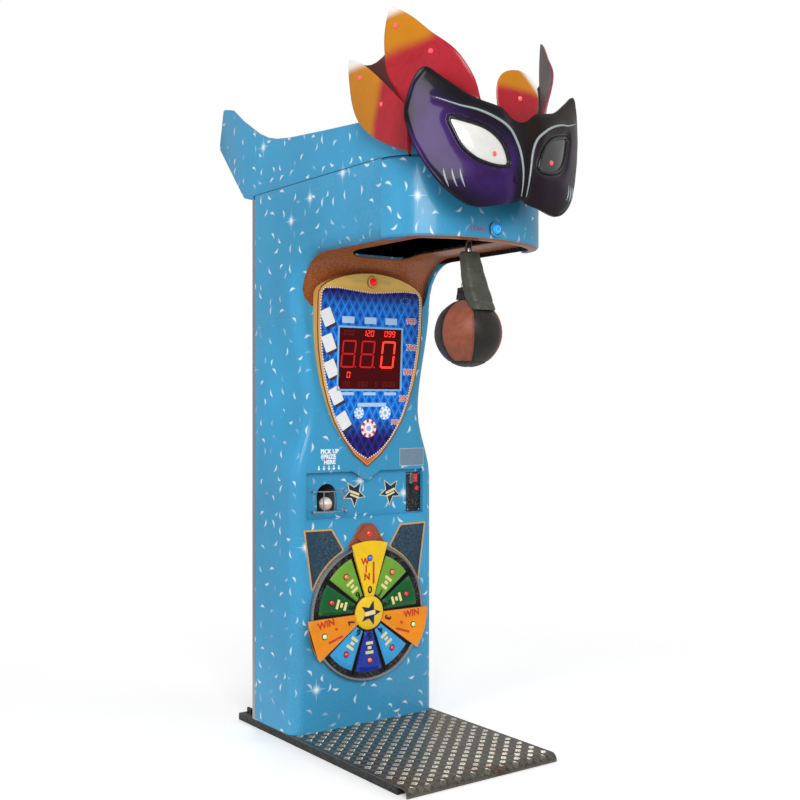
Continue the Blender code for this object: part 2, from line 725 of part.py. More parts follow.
def door_lock(door, x, z):
    near, far = panel_faces()
    hole = rod("lock_hole", (x, near - 0.01, z), (x, far + 0.01, z), LOCK_RADIUS + SLIDE_GAP, steps=ROUND)
    cut(door, hole)
    profile = [(0, far + 0.006), (0.0125, far + 0.006), (0.0125, far + GAP), (LOCK_RADIUS, far + GAP),
               (LOCK_RADIUS, near - 0.008), (0, near - 0.008)]
    lock = turned("door_lock", profile, (x, 0, z), "Y", bare_steel())
    cam = box("lock_cam", (x - 0.008, near - 0.0075, z - 0.008), (x + 0.042, near - 0.0045, z + 0.008))
    join(lock, cam)


def cash_box():
    """A steel drawer that slides out of the back, resting on the tread plate."""
    near, far = panel_faces()
    clear = 0.0006
    left, right = DRAWER_LEFT_X + clear, DRAWER_RIGHT_X - clear
    low, high = FLOOR_Z + GAP, FLOOR_Z + DRAWER_HEIGHT - clear
    drawer = box("cash_box", (left, DRAWER_FRONT_Y, low), (right, far, high), grey_paint())
    sheet = 0.002
    step_x, step_z = DRAWER_STEP_X - clear, DRAWER_STEP_Z + clear
    step_low = (step_x, DRAWER_FRONT_Y - 0.01, low - 0.01)
    cut(drawer, box("cash_step", step_low, (right + 0.01, far + 0.01, step_z)))
    inside_high = (right - sheet, near - GAP, high + 0.01)
    cut(drawer, box("cash_space", (left + sheet, DRAWER_FRONT_Y + sheet, step_z + sheet), inside_high))
    foot_high = (step_x - sheet, near - GAP, step_z + sheet + 0.001)
    cut(drawer, box("cash_foot_space", (left + sheet, DRAWER_FRONT_Y + sheet, low + sheet), foot_high))
    middle = (left + right) / 2
    grip = tube_along("cash_grip", [(middle - 0.04, far - 0.002, high - 0.06), (middle - 0.04, far + 0.012, high - 0.06),
                                    (middle + 0.04, far + 0.012, high - 0.06), (middle + 0.04, far - 0.002, high - 0.06)],
                      0.003)
    join(drawer, grip)


# ---------------------------------------------------------------- steelwork and swinging ball

def build_steelwork():
    mast = box("mast", (-MAST_HALF_WIDTH, MAST_FRONT_Y, FLOOR_Z),
               (MAST_HALF_WIDTH, MAST_BACK_Y, BEAM_LOW_Z - GAP), black_steel())
    wall = 0.004
    low = (-MAST_HALF_WIDTH + wall, MAST_FRONT_Y + wall, FLOOR_Z + 0.008)
    cut(mast, box("mast_bore", low, (MAST_HALF_WIDTH - wall, MAST_BACK_Y - wall, BEAM_LOW_Z + 0.1)))
    beam_top = BEAM_LOW_Z + BEAM_HEIGHT
    beam = box("arm_beam", (-BEAM_HALF_WIDTH, BEAM_FRONT_Y, BEAM_LOW_Z),
               (BEAM_HALF_WIDTH, MAST_BACK_Y, beam_top), black_steel())
    low = (-BEAM_HALF_WIDTH + wall, BEAM_FRONT_Y - 0.01, BEAM_LOW_Z + wall)
    cut(beam, box("beam_bore", low, (BEAM_HALF_WIDTH - wall, MAST_BACK_Y + 0.01, beam_top - wall)))
    pivot_bracket()


def pivot_bracket():
    """Two cheeks under a top plate, which also carries the latch."""
    plate_top = BEAM_LOW_Z - GAP
    plate_low = plate_top - CHEEK_THICKNESS
    front, back = PIVOT_Y - 0.05, PIVOT_Y + 0.05
    bracket = box("pivot_bracket", (-CHEEK_OUTER_X, front, plate_low), (DISC_X + 0.035, back, plate_top),
                  black_steel())
    for side in (-1, 1):
        inner, outer = side * CHEEK_INNER_X, side * CHEEK_OUTER_X
        low = (min(inner, outer), front, PIVOT_Z - 0.03)
        high = (max(inner, outer), back, plate_top - 0.001)
        join(bracket, box(f"cheek_{side}", low, high))
    hole = BEARING_RADIUS + GAP
    cut(bracket, rod("bearing_holes", (-0.1, PIVOT_Y, PIVOT_Z), (0.1, PIVOT_Y, PIVOT_Z), hole, steps=ROUND))
    solenoid(plate_low)
    speed_sensor()


def solenoid(ceiling):
    """The latch: a bolt that drops into the disc's notch when the ball is up."""
    look = material("solenoid_case", (0.35, 0.33, 0.28), 0.5)
    x = DISC_X + DISC_THICKNESS / 2
    tip = PIVOT_Z + DISC_RADIUS + 0.0015
    low = (x - 0.0125, PIVOT_Y - 0.015, tip + 0.014)
    case = box("latch_solenoid", low, (x + 0.0125, PIVOT_Y + 0.015, ceiling - GAP), look)
    top = ceiling - 0.006
    bore = BOLT_RADIUS + SLIDE_GAP
    cut(case, rod("bolt_bore", (x, PIVOT_Y, tip), (x, PIVOT_Y, top), bore, steps=16))
    rod("latch_bolt", (x, PIVOT_Y, tip), (x, PIVOT_Y, top - 0.002), BOLT_RADIUS, chrome(), steps=16)


def speed_sensor():
    """An optical fork that the disc's rim turns through."""
    y = PIVOT_Y + DISC_RADIUS
    sensor = box("speed_sensor", (CHEEK_OUTER_X + GAP, y - 0.012, PIVOT_Z - 0.010),
                 (CHEEK_OUTER_X + 0.030, y + 0.016, PIVOT_Z + 0.010), black_plastic())
    low = (DISC_X - 0.0015, y - 0.02, PIVOT_Z - 0.02)
    cut(sensor, box("sensor_gap", low, (DISC_X + DISC_THICKNESS + 0.0015, y + 0.008, PIVOT_Z + 0.02)))


def build_swing():
    bore = SHAFT_RADIUS + GAP
    rod("pivot_shaft", (-0.070, PIVOT_Y, PIVOT_Z), (DISC_X + 0.014, PIVOT_Y, PIVOT_Z), SHAFT_RADIUS,
        bare_steel(), steps=ROUND)
    for side, name in ((-1, "left"), (1, "right")):
        inner, mid, outer = (side * x for x in (CHEEK_INNER_X - 0.003, CHEEK_OUTER_X + GAP, CHEEK_OUTER_X + 0.004))
        profile = [(bore, inner), (BEARING_RADIUS, inner), (BEARING_RADIUS, mid), (BEARING_RADIUS + 0.006, mid),
                   (BEARING_RADIUS + 0.006, outer), (bore, outer)]
        turned(f"{name}_bearing", profile, (0, PIVOT_Y, PIVOT_Z), "X", chrome())
    latch_disc(bore)
    swing_rod(bore)
    punch_ball()
    rod_sleeve()
    bag_stop()


def latch_disc(bore):
    """Two notches a quarter turn apart hold the ball up, or hanging."""
    profile = [(bore, DISC_X), (DISC_RADIUS, DISC_X), (DISC_RADIUS, DISC_X + DISC_THICKNESS),
               (bore, DISC_X + DISC_THICKNESS)]
    disc = turned("latch_disc", profile, (0, PIVOT_Y, PIVOT_Z), "X", bare_steel(), steps=48)
    half = NOTCH_WIDTH / 2
    depth = DISC_RADIUS - NOTCH_DEPTH
    reach = DISC_RADIUS + 0.01
    low, high = DISC_X - 0.01, DISC_X + DISC_THICKNESS + 0.01
    top = box("top_notch", (low, PIVOT_Y - half, PIVOT_Z + depth), (high, PIVOT_Y + half, PIVOT_Z + reach))
    cut(disc, top)
    rear = box("rear_notch", (low, PIVOT_Y + depth, PIVOT_Z - half), (high, PIVOT_Y + reach, PIVOT_Z + half))
    cut(disc, rear)


def swing_rod(bore):
    """A tube with a keyed hub on the shaft."""
    end = BALL_Z + BALL_RADIUS * 0.97 + GAP
    bar = rod("swing_rod", (0, PIVOT_Y, end), (0, PIVOT_Y, PIVOT_Z), ROD_RADIUS, chrome(), steps=ROUND)
    hub = rod("rod_hub", (-0.030, PIVOT_Y, PIVOT_Z), (0.030, PIVOT_Y, PIVOT_Z), 0.020, steps=ROUND)
    join(bar, hub)
    cut(bar, rod("hub_bore", (-0.05, PIVOT_Y, PIVOT_Z), (0.05, PIVOT_Y, PIVOT_Z), bore, steps=ROUND))


def ball_profile(grow=0.0):
    """Half of the ball's outline from the bottom to its flat neck, as (radius, z)."""
    radius = BALL_RADIUS + grow
    points = [(0, BALL_Z - radius)]
    for degrees in (-72, -54, -36, -18, 0, 18, 32, 44):
        angle = math.radians(degrees)
        points.append((radius * math.cos(angle), BALL_Z + radius * math.sin(angle)))
    top = BALL_Z + BALL_RADIUS * 0.97 + grow
    return points + [(0.055 + grow, BALL_Z + BALL_RADIUS * 0.86 + grow), (0.036 + grow, top), (0, top)]


def punch_ball():
    leather = material("brown_leather", (0.22, 0.08, 0.045), 0.5)
    turned("punch_ball", ball_profile(), (0, PIVOT_Y, 0), "Z", leather)
    top = BALL_Z + BALL_RADIUS * 0.97 + GAP
    collar = [(ROD_RADIUS + GAP, top), (0.040, top), (0.036, top + 0.038), (ROD_RADIUS + GAP, top + 0.038)]
    dark = material("dark_leather", (0.03, 0.025, 0.022), 0.6)
    turned("ball_collar", collar, (0, PIVOT_Y, 0), "Z", dark)


def rod_sleeve():
    """A padded leather guard round the rod that spreads over the front of the ball."""
    levels = [(1.690, 0.004, 0.036, 0.024), (1.650, 0.006, 0.040, 0.026), (1.610, 0.010, 0.042, 0.028),
              (1.575, 0.020, 0.044, 0.034), (1.550, 0.035, 0.046, 0.036), (1.520, 0.052, 0.047, 0.036),
              (1.492, 0.070, 0.046, 0.034)]
    sections = []
    for z, shift, half_x, half_y in levels:
        ring = [2 * math.pi * k / 20 for k in range(20)]
        loop = [(half_x * math.cos(a), PIVOT_Y - shift + half_y * math.sin(a), z) for a in ring]
        sections.append(loop)
    dark = material("dark_leather", (0.03, 0.025, 0.022), 0.6)
    sleeve = loft("rod_sleeve", sections, dark)
    cut(sleeve, turned("ball_room", ball_profile(GAP), (0, PIVOT_Y, 0), "Z"))
    top = BALL_Z + BALL_RADIUS * 0.97 + GAP
    wide, narrow = 0.040 + 2 * GAP, 0.036 + 2 * GAP
    collar_room = [(0, top - 0.01), (wide, top - 0.01), (wide, top), (narrow, top + 0.038 + GAP),
                   (0, top + 0.038 + GAP)]
    cut(sleeve, turned("collar_room", collar_room, (0, PIVOT_Y, 0), "Z"))
    cut(sleeve, rod("rod_room", (0, PIVOT_Y, 1.45), (0, PIVOT_Y, 1.75), ROD_RADIUS + GAP, steps=ROUND))


def bag_stop():
    """A rubber buffer under the beam that the raised sleeve meets."""
    rubber = material("black_rubber", (0.02, 0.02, 0.02), 0.8)
    low = (-0.020, PIVOT_Y + 0.160, PIVOT_Z + 0.0235)
    stop = box("bag_stop", low, (0.020, PIVOT_Y + 0.200, BEAM_LOW_Z - GAP), rubber)
    round_edges(stop, 0.003)


# ---------------------------------------------------------------- display

def shield_front(z):
    """The shield leans forward as it rises."""
    return FRONT_Y - SHIELD_FOOT_THICKNESS - (z - SHIELD_LOW_Z) * SHIELD_LEAN


def shield_outline():
    """A pointed shield with a shallow arched top, anticlockwise, as (x, z)."""
    crown = [(0.228, -0.081), (0.218, -0.061), (0.194, -0.043), (0.163, -0.029), (0.124, -0.016), (0.080, -0.007),
             (0.040, -0.002), (0, 0)]
    right = [(0, SHIELD_LOW_Z), (0.060, 1.008), (0.112, 1.070), (0.150, 1.130), (0.178, 1.197), (0.199, 1.262),
             (0.214, 1.330), (0.224, 1.395), (0.229, 1.460), (0.230, 1.556)]
    right += [(x, SHIELD_TOP_Z + dz) for x, dz in crown]
    return mirrored(right)


def build_display():
    wedge = [(shield_front(0.9), 0.9), (FRONT_Y - GAP, 0.9), (FRONT_Y - GAP, COVE_Z + 0.072)]
    facets = [in_cove(math.pi / 2 * i / COVE_FACETS)(0, RECESS_DEPTH - GAP)[1:] for i in (3, 4, 5)]
    wedge += facets[:2]
    wedge.append(tuple(Vector(facets[1]).lerp(Vector(facets[2]), 0.3)))
    wedge.append((shield_front(1.70), 1.70))
    gold = material("gold_panel", (0.75, 0.42, 0.08), 0.35)
    shield = prism("display_shield", shield_outline(), "Y", 0.0, 0.2, gold)
    change(shield, prism("shield_wedge", wedge, "X", -0.3, 0.3), "INTERSECT")
    low = (-WINDOW_HALF_WIDTH, 0.0, WINDOW_LOW_Z)
    cut(shield, box("window_opening", low, (WINDOW_HALF_WIDTH, 0.2, WINDOW_HIGH_Z)))
    face = shield_front(SELECT_Z)
    ring = [(0.010, face + 0.006), (0.0225, face + 0.006), (0.0225, face - 0.004), (0.019, face - 0.006),
            (0.010, face - 0.006)]
    join(shield, turned("select_bezel", ring, (0, 0, SELECT_Z), "Y"))
    bore = rod("select_bore", (0, face - 0.02, SELECT_Z), (0, face + 0.026, SELECT_Z),
               SELECT_RADIUS + SLIDE_GAP, steps=ROUND)
    cut(shield, bore)
    red = material("red_lens", (0.65, 0.02, 0.02), 0.2)
    push_button("select_button", (0, face - 0.010, SELECT_Z), face + 0.018, SELECT_RADIUS, red)
    leaning_slab("display_window", 0.0020, WINDOW_THICKNESS, material("red_acrylic", (0.18, 0.01, 0.01), 0.1))
    leaning_slab("led_module", 0.0020 + WINDOW_THICKNESS + GAP, 0.016, black_plastic())


def leaning_slab(name, setback, thickness, look):
    """A slab in the shield's window, parallel to its leaning front."""
    low, high = WINDOW_LOW_Z + GAP, WINDOW_HIGH_Z - GAP
    near_low, near_high = shield_front(low) + setback, shield_front(high) + setback
    outline = [(near_low, low), (near_low + thickness, low), (near_high + thickness, high), (near_high, high)]
    half = WINDOW_HALF_WIDTH - GAP
    return prism(name, outline, "X", -half, half, look)


def push_button(name, tip, back, radius, look):
    """A domed button that is pressed along +Y."""
    x, front, z = tip
    profile = [(0, front), (radius * 0.6, front + radius * 0.07), (radius * 0.92, front + radius * 0.25),
               (radius, front + radius * 0.5), (radius, back), (0, back)]
    return turned(name, profile, (x, 0, z), "Y", look)


# ---------------------------------------------------------------- console

def console_outline():
    """The recess, with a shallow V in its top edge, anticlockwise, as (x, z)."""
    right = [(0, CONSOLE_LOW_Z), (CONSOLE_HALF_WIDTH, CONSOLE_LOW_Z), (CONSOLE_HALF_WIDTH, CONSOLE_HIGH_Z),
             (CONSOLE_NOTCH_HALF_WIDTH, CONSOLE_HIGH_Z), (0, CONSOLE_NOTCH_Z)]
    return mirrored(right)


def prize_arch(grow=0.0):
    """The prize opening: straight sides and a round top, anticlockwise, as (x, z)."""
    half = PRIZE_HALF_WIDTH + grow
    spring = PRIZE_HIGH_Z - PRIZE_HALF_WIDTH
    low = PRIZE_LOW_Z - grow
    return [(PRIZE_X - half, low), (PRIZE_X + half, low)] + arc((PRIZE_X, spring), half, 0, 180, 10)


def build_console():
    floor_y = FRONT_Y + CONSOLE_DEPTH
    tray = prism("console_panel", console_outline(), "Y", FRONT_Y + GAP, floor_y + CONSOLE_WALL, blue_gloss())
    pocket = shrunk(console_outline(), CONSOLE_WALL)
    cut(tray, prism("console_pocket", pocket, "Y", FRONT_Y - 0.02, floor_y))
    cut(tray, prism("prize_opening", prize_arch(), "Y", floor_y - 0.02, floor_y + 0.02))
    low = (COIN_X - 0.024, floor_y - 0.01, COIN_LOW_Z + 0.008)
    high = (COIN_X + 0.024, floor_y + 0.01, COIN_LOW_Z + COIN_HEIGHT - 0.012)
    cut(tray, box("coin_opening", low, high))
    coin_entry(floor_y)
    prize_outlet(floor_y)
    wire_guard(floor_y)


def coin_entry(floor_y):
    """The coin plate, its reject button and return flap, and the coin mechanism behind them."""
    face = floor_y - GAP - COIN_PLATE_THICKNESS
    half = COIN_WIDTH / 2
    plate = box("coin_plate", (COIN_X - half, face, COIN_LOW_Z),
                (COIN_X + half, floor_y - GAP, COIN_LOW_Z + COIN_HEIGHT), black_plastic())
    cup_low = COIN_LOW_Z + 0.012
    cup_high = cup_low + RETURN_HEIGHT
    cut(plate, box("return_opening", (COIN_X - RETURN_HALF_WIDTH, face - 0.01, cup_low),
                   (COIN_X + RETURN_HALF_WIDTH, floor_y + 0.01, cup_high)))
    reject_x, reject_z = COIN_X + 0.014, COIN_LOW_Z + 0.086
    reach = floor_y + 0.014
    cut(plate, rod("reject_hole", (reject_x, face - 0.01, reject_z), (reject_x, reach, reject_z),
                   REJECT_RADIUS + SLIDE_GAP, steps=ROUND))
    slot_low = (COIN_X - 0.0145, face - 0.01, COIN_LOW_Z + 0.110)
    cut(plate, box("coin_slot", slot_low, (COIN_X - 0.0110, floor_y + 0.01, COIN_LOW_Z + 0.138)))
    back = floor_y + CONSOLE_WALL + GAP
    mech = box("coin_mech", (COIN_X - 0.030, back, COIN_LOW_Z), (COIN_X + 0.030, back + 0.110, COIN_LOW_Z + 0.150),
               grey_paint())
    cut(mech, box("return_cup", (COIN_X - RETURN_HALF_WIDTH - 0.002, back - 0.01, cup_low - 0.002),
                  (COIN_X + RETURN_HALF_WIDTH + 0.002, back + 0.045, cup_high + 0.002)))
    cut(mech, rod("reject_room", (reject_x, back - 0.01, reject_z), (reject_x, back + 0.016, reject_z),
                  REJECT_RADIUS + SLIDE_GAP, steps=ROUND))
    cut(mech, box("coin_way", (COIN_X - 0.0145, back - 0.01, COIN_LOW_Z + 0.110),
                  (COIN_X - 0.0110, back + 0.050, COIN_LOW_Z + 0.138)))
    red = material("red_lens", (0.65, 0.02, 0.02), 0.2)
    push_button("reject_button", (reject_x, face - 0.005, reject_z), back + 0.011, REJECT_RADIUS, red)
    return_flap(face, cup_low, cup_high)


def return_flap(face, low, high):
    """A flap hung from two pins at its top corners, pushed in to reach a returned coin."""
    half = RETURN_HALF_WIDTH - SLIDE_GAP
    axis_y, axis_z = face + 0.002, high - 0.0026
    flap = box("coin_flap", (COIN_X - half, face + 0.001, low + 0.001),
               (COIN_X + half, face + 0.003, axis_z), black_plastic())
    roll = rod("flap_roll", (COIN_X - half, axis_y, axis_z), (COIN_X + half, axis_y, axis_z), 0.002)
    join(flap, roll)


def prize_outlet(floor_y):
    """A chute behind the arch, fed by a turning dispenser wheel on its roof."""
    back = floor_y + CONSOLE_WALL + GAP
    deep = back + 0.140
    half = PRIZE_HALF_WIDTH + 0.010
    low, high = PRIZE_LOW_Z - 0.012, PRIZE_HIGH_Z + 0.014
    sheet = 0.004
    wheel_y = back + 0.070
    drop = CAPSULE_RADIUS + 0.003
    orbit = 0.034
    chute = box("prize_chute", (PRIZE_X - half, back, low), (PRIZE_X + half, deep, high), grey_paint())
    cut(chute, box("chute_space", (PRIZE_X - half + sheet, back - 0.01, PRIZE_LOW_Z),
                   (PRIZE_X + half - sheet, deep - sheet, high - sheet)))
    cut(chute, rod("drop_hole", (PRIZE_X, wheel_y + orbit, high - 0.02), (PRIZE_X, wheel_y + orbit, high + 0.02),
                   drop, steps=20))
    join(chute, rod("wheel_post", (PRIZE_X, wheel_y, high - 0.002), (PRIZE_X, wheel_y, high + 0.030), 0.0050,
                    steps=16))
    low_z = high + SLIDE_GAP
    profile = [(0.0055, low_z), (0.064, low_z), (0.064, low_z + 0.024), (0.0055, low_z + 0.024)]
    cream = material("cream_plastic", (0.75, 0.72, 0.62), 0.4)
    wheel = turned("dispenser_wheel", profile, (PRIZE_X, wheel_y, 0), "Z", cream, steps=30)
    for i in range(3):
        angle = math.radians(90 + 120 * i)
        x, y = PRIZE_X + orbit * math.cos(angle), wheel_y + orbit * math.sin(angle)
        cut(wheel, rod(f"wheel_pocket_{i}", (x, y, low_z - 0.01), (x, y, low_z + 0.04), 0.0265, steps=14))
    rest = floor_y + 0.0085
    capsule = [(0, -CAPSULE_RADIUS)]
    for degrees in range(-67, 68, 22):
        angle = math.radians(degrees)
        capsule.append((CAPSULE_RADIUS * math.cos(angle), CAPSULE_RADIUS * math.sin(angle)))
    capsule.append((0, CAPSULE_RADIUS))
    clear = material("capsule_plastic", (0.80, 0.78, 0.70), 0.3)
    turned("prize_capsule", capsule, (PRIZE_X, rest, PRIZE_LOW_Z + CAPSULE_RADIUS + GAP), "Z", clear, steps=20)


def wire_guard(floor_y):
    """Two bowed rails with ball ends and three bowed uprights, on four posts from the panel."""
    rail_half, bow, stand = 0.067, 0.032, 0.020
    levels = (PRIZE_LOW_Z - 0.008 + 0.010, PRIZE_HIGH_Z - 0.024)
    base = floor_y - GAP
    guard = None
    for i, z in enumerate(levels):
        points = []
        for k in range(-4, 5):
            t = k / 4
            points.append((PRIZE_X + rail_half * t, base - stand - bow * (1 - t * t), z))
        wire = tube_along("wire_guard" if i == 0 else "upper_wire", points, WIRE_RADIUS, chrome(), 6)
        guard = wire if i == 0 else join(guard, wire)
        for side in (-1, 1):
            x = PRIZE_X + side * rail_half
            join(guard, rod(f"post_{i}_{side}", (x, base, z), (x, base - stand, z), 0.0030, steps=8))
            knob = [(0, -0.0065), (0.0046, -0.0046), (0.0065, 0), (0.0046, 0.0046), (0, 0.0065)]
            join(guard, turned(f"knob_{i}_{side}", knob, (x, base - stand, z), "Y", steps=10))
    for k in (-1, 0, 1):
        t = 0.55 * k
        x, y = PRIZE_X + rail_half * t, base - stand - bow * (1 - t * t)
        points = [(x, y, levels[0]), (x + 0.006 * k, y - 0.004, (levels[0] + levels[1]) / 2), (x, y, levels[1])]
        join(guard, tube_along(f"upright_{k}", points, WIRE_RADIUS, steps=6))


# ---------------------------------------------------------------- lucky wheel

def build_dial():
    """A fixed wheel in relief, lit by running lamps."""
    back = FRONT_Y - GAP
    inner = DIAL_RING_RADIUS - DIAL_RING_WIDTH
    face = back - DIAL_RING_DEPTH
    ring = [(inner, back), (DIAL_RING_RADIUS, back), (DIAL_RING_RADIUS, face + 0.004),
            (DIAL_RING_RADIUS - 0.003, face), (inner + 0.003, face), (inner, face + 0.004)]
    turned("dial_ring", ring, (0, 0, DIAL_Z), "Y", bare_steel(), steps=60)
    rim = inner - GAP
    front = back - DIAL_FACE_DEPTH
    green = material("dial_face", (0.10, 0.35, 0.12), 0.35)
    profile = [(0, front), (rim, front), (rim, back), (0, back)]
    dial = turned("dial_face", profile, (0, 0, DIAL_Z), "Y", green, steps=60)
    for i in range(DIAL_SECTORS):
        turn = math.radians(360 / DIAL_SECTORS * (i + 0.5))
        groove = box(f"groove_{i}", (-0.0025, front - 0.01, HUB_RADIUS + 0.004), (0.0025, front + 0.004, rim - 0.006))
        groove.matrix_world = Matrix.Translation((0, 0, DIAL_Z)) @ Matrix.Rotation(turn, 4, "Y")
        cut(dial, groove)
    hub_face = front - GAP
    hub = [(0, hub_face - 0.012), (HUB_RADIUS * 0.8, hub_face - 0.010), (HUB_RADIUS, hub_face - 0.004),
           (HUB_RADIUS, hub_face), (0, hub_face)]
    yellow = material("yellow_gloss", (0.85, 0.60, 0.03), 0.3)
    turned("dial_hub", hub, (0, 0, DIAL_Z), "Y", yellow, steps=36)
    tip = DIAL_Z + DIAL_RING_RADIUS + 0.004
    outline = [(0, tip), (0.020, tip + 0.002), (0.052, tip + 0.020), (0.046, tip + 0.034), (0.018, tip + 0.062)]
    brown = material("brown_gloss", (0.24, 0.075, 0.025), 0.35)
    pointer = prism("dial_pointer", mirrored(outline + [(0, tip + 0.066)]), "Y", back - 0.016, back, brown)
    round_edges(pointer, 0.004)


# ---------------------------------------------------------------- electrics

def build_electrics():
    board_x = HALF_WIDTH - WALL - GAP
    green = material("board_green", (0.02, 0.16, 0.06), 0.45)
    thick, stand = 0.0020, 0.016
    board = box("control_board", (board_x - stand - thick, 0.20, 0.56), (board_x - stand, 0.33, 0.74), green)
    for i, (y, z) in enumerate(((0.21, 0.57), (0.32, 0.57), (0.21, 0.73), (0.32, 0.73))):
        join(board, rod(f"standoff_{i}", (board_x - stand - 0.001, y, z), (board_x, y, z), 0.004, steps=8))
    chip_low = (board_x - stand - thick - 0.006, 0.24, 0.62)
    join(board, box("board_chips", chip_low, (board_x - stand - 0.001, 0.29, 0.68)))
    supply_low = (-0.250, 0.220, FLOOR_Z)
    supply = box("power_supply", supply_low, (-0.080, 0.340, FLOOR_Z + 0.055), bare_steel())
    round_edges(supply, 0.002, 1)
    near, far = panel_faces()
    inlet = box("power_inlet", (-0.2135, near - 0.018, 0.1065), (-0.1865, far - 0.001, 0.1335), black_plastic())
    join(inlet, box("inlet_flange", (-0.222, far + GAP, 0.098), (-0.178, far + 0.003, 0.142)))
    join(inlet, box("inlet_neck", (-0.2135, far - 0.003, 0.1065), (-0.1865, far + 0.002, 0.1335)))
    cut(inlet, box("inlet_mouth", (-0.211, near - 0.012, 0.110), (-0.189, far + 0.01, 0.130)))
    blue = material("blue_lens", (0.02, 0.20, 0.70), 0.2)
    front = NOSE_START_Y - NOSE_DEPTH
    push_button("start_button", (0, front - 0.013, START_Z), front + 0.020, START_RADIUS, blue)


# ---------------------------------------------------------------- mask and feathers

MASK_TOP = [(0, 2.078), (0.09, 2.096), (0.17, 2.116), (0.25, 2.164), (0.305, 2.195), (0.335, 2.150), (0.352, 2.075)]
MASK_BOTTOM = [(0, 1.818), (0.06, 1.800), (0.17, 1.785), (0.25, 1.832), (0.30, 1.900), (0.335, 1.975), (0.352, 2.045)]


# Height, then the inner and outer edge along the feather's plane
TALL_FEATHER = [(2.030, -0.165, 0.050), (2.080, -0.160, 0.081), (2.150, -0.125, 0.120), (2.215, -0.084, 0.149),
                (2.275, -0.045, 0.156), (2.325, 0.005, 0.157), (2.370, 0.056, 0.151), (2.400, 0.100, 0.142),
                (2.413, 0.128, 0.136)]
# The lower and the upper edge, each as (y, z)
LOW_FEATHER = [((-0.612, 1.930), (-0.612, 2.046)), ((-0.530, 1.962), (-0.540, 2.107)),
               ((-0.463, 1.990), (-0.470, 2.167)), ((-0.390, 2.028), (-0.410, 2.216)),
               ((-0.331, 2.078), (-0.355, 2.255)), ((-0.297, 2.140), (-0.318, 2.275)),
               ((-0.280, 2.225), (-0.292, 2.284)), ((-0.279, 2.277), (-0.283, 2.288))]
# Height and half width
CENTRE_FEATHER = [(2.030, 0.060), (2.080, 0.080), (2.120, 0.086), (2.160, 0.072), (2.195, 0.040), (2.220, 0.004)]
CENTRE_FEATHER_Y = -0.688


def along(points, x):
    """Height of a half outline at a distance from the middle."""
    return float(np.interp(abs(x), [p[0] for p in points], [p[1] for p in points]))


def mask_front(x, z):
    """The mask's front surface, deepest at the bridge of the nose."""
    fall = 1.37 * (1 - min(abs(x) / 0.32, 1.0))
    return MASK_NOSE_Y + 1.15 * x * x + fall * (z - 1.93) ** 2


def mask_solid(name, look=None):
    """The mask as a thick curved sheet."""
    columns, rows = 24, 8
    sections = []
    for i in range(columns + 1):
        x = MASK_HALF_WIDTH * math.sin(math.pi / 2 * (2 * i / columns - 1))
        low, high = along(MASK_BOTTOM, x), along(MASK_TOP, x)
        heights = [low + (high - low) * k / rows for k in range(rows + 1)]
        front = [(x, mask_front(x, z), z) for z in heights]
        back = [(x, mask_front(x, z) + MASK_THICKNESS, z) for z in heights]
        sections.append(front + back[::-1])
    return loft(name, sections, look, paired=True)


def mask_room(name, half, whole_height):
    """The space the mask takes, and all that is in front of it."""
    columns, rows = 24, 8
    sections = []
    for i in range(columns + 1):
        x = half * math.sin(math.pi / 2 * (2 * i / columns - 1))
        low, high = along(MASK_BOTTOM, x) - PLUME_GAP, along(MASK_TOP, x) + PLUME_GAP
        if whole_height:
            low, high = 1.70, 2.45
        heights = [low + (high - low) * k / rows for k in range(rows + 1)]
        front = [(x, MASK_NOSE_Y - 0.2, z) for z in heights]
        back = [(x, mask_front(x, z) + MASK_THICKNESS + PLUME_GAP, z) for z in heights]
        sections.append(front + back[::-1])
    return loft(name, sections, paired=True)


def build_mask():
    purple = material("black_gloss", (0.03, 0.01, 0.05), 0.15)
    mask = mask_solid("mask_shell", purple)
    nose_y = NOSE_START_Y - NOSE_DEPTH
    boss = box("mask_boss", (-0.040, MASK_NOSE_Y + 0.011, 1.865), (0.040, nose_y - 2 * GAP, 1.915))
    join(mask, boss)
    for side, name in ((-1, "left"), (1, "right")):
        tall = [(tall_plane(side, inner, z), tall_plane(side, outer, z)) for z, inner, outer in TALL_FEATHER]
        plume = feather(f"{name}_tall_feather", tall, 0.010)
        cut(plume, mask_room(f"{name}_tall_room", MASK_HALF_WIDTH + PLUME_GAP, False))
        low = [(low_plane(side, *one), low_plane(side, *two)) for one, two in LOW_FEATHER]
        plume = feather(f"{name}_low_feather", low, 0.009)
        cut(plume, mask_room(f"{name}_low_room", 0.42, True))
    centre = [((-half, CENTRE_FEATHER_Y, z), (half, CENTRE_FEATHER_Y, z)) for z, half in CENTRE_FEATHER]
    plume = feather("centre_feather", centre, 0.011)
    cut(plume, mask_room("centre_room", MASK_HALF_WIDTH + PLUME_GAP, False))


def tall_plane(side, s, z):
    """A point of a tall feather, at a distance s along its upright plane, which fans out and back."""
    cup = 0.028 * max((-0.045 - s) / 0.13, 0.0) ** 2
    return (side * (0.25 + 0.69 * s), -0.60 + 0.724 * s + cup, z)


def low_plane(side, y, z):
    """A point of a low feather, which leans out a little towards its tip."""
    return (side * (0.343 + 0.04 * (y + 0.60)), y, z)


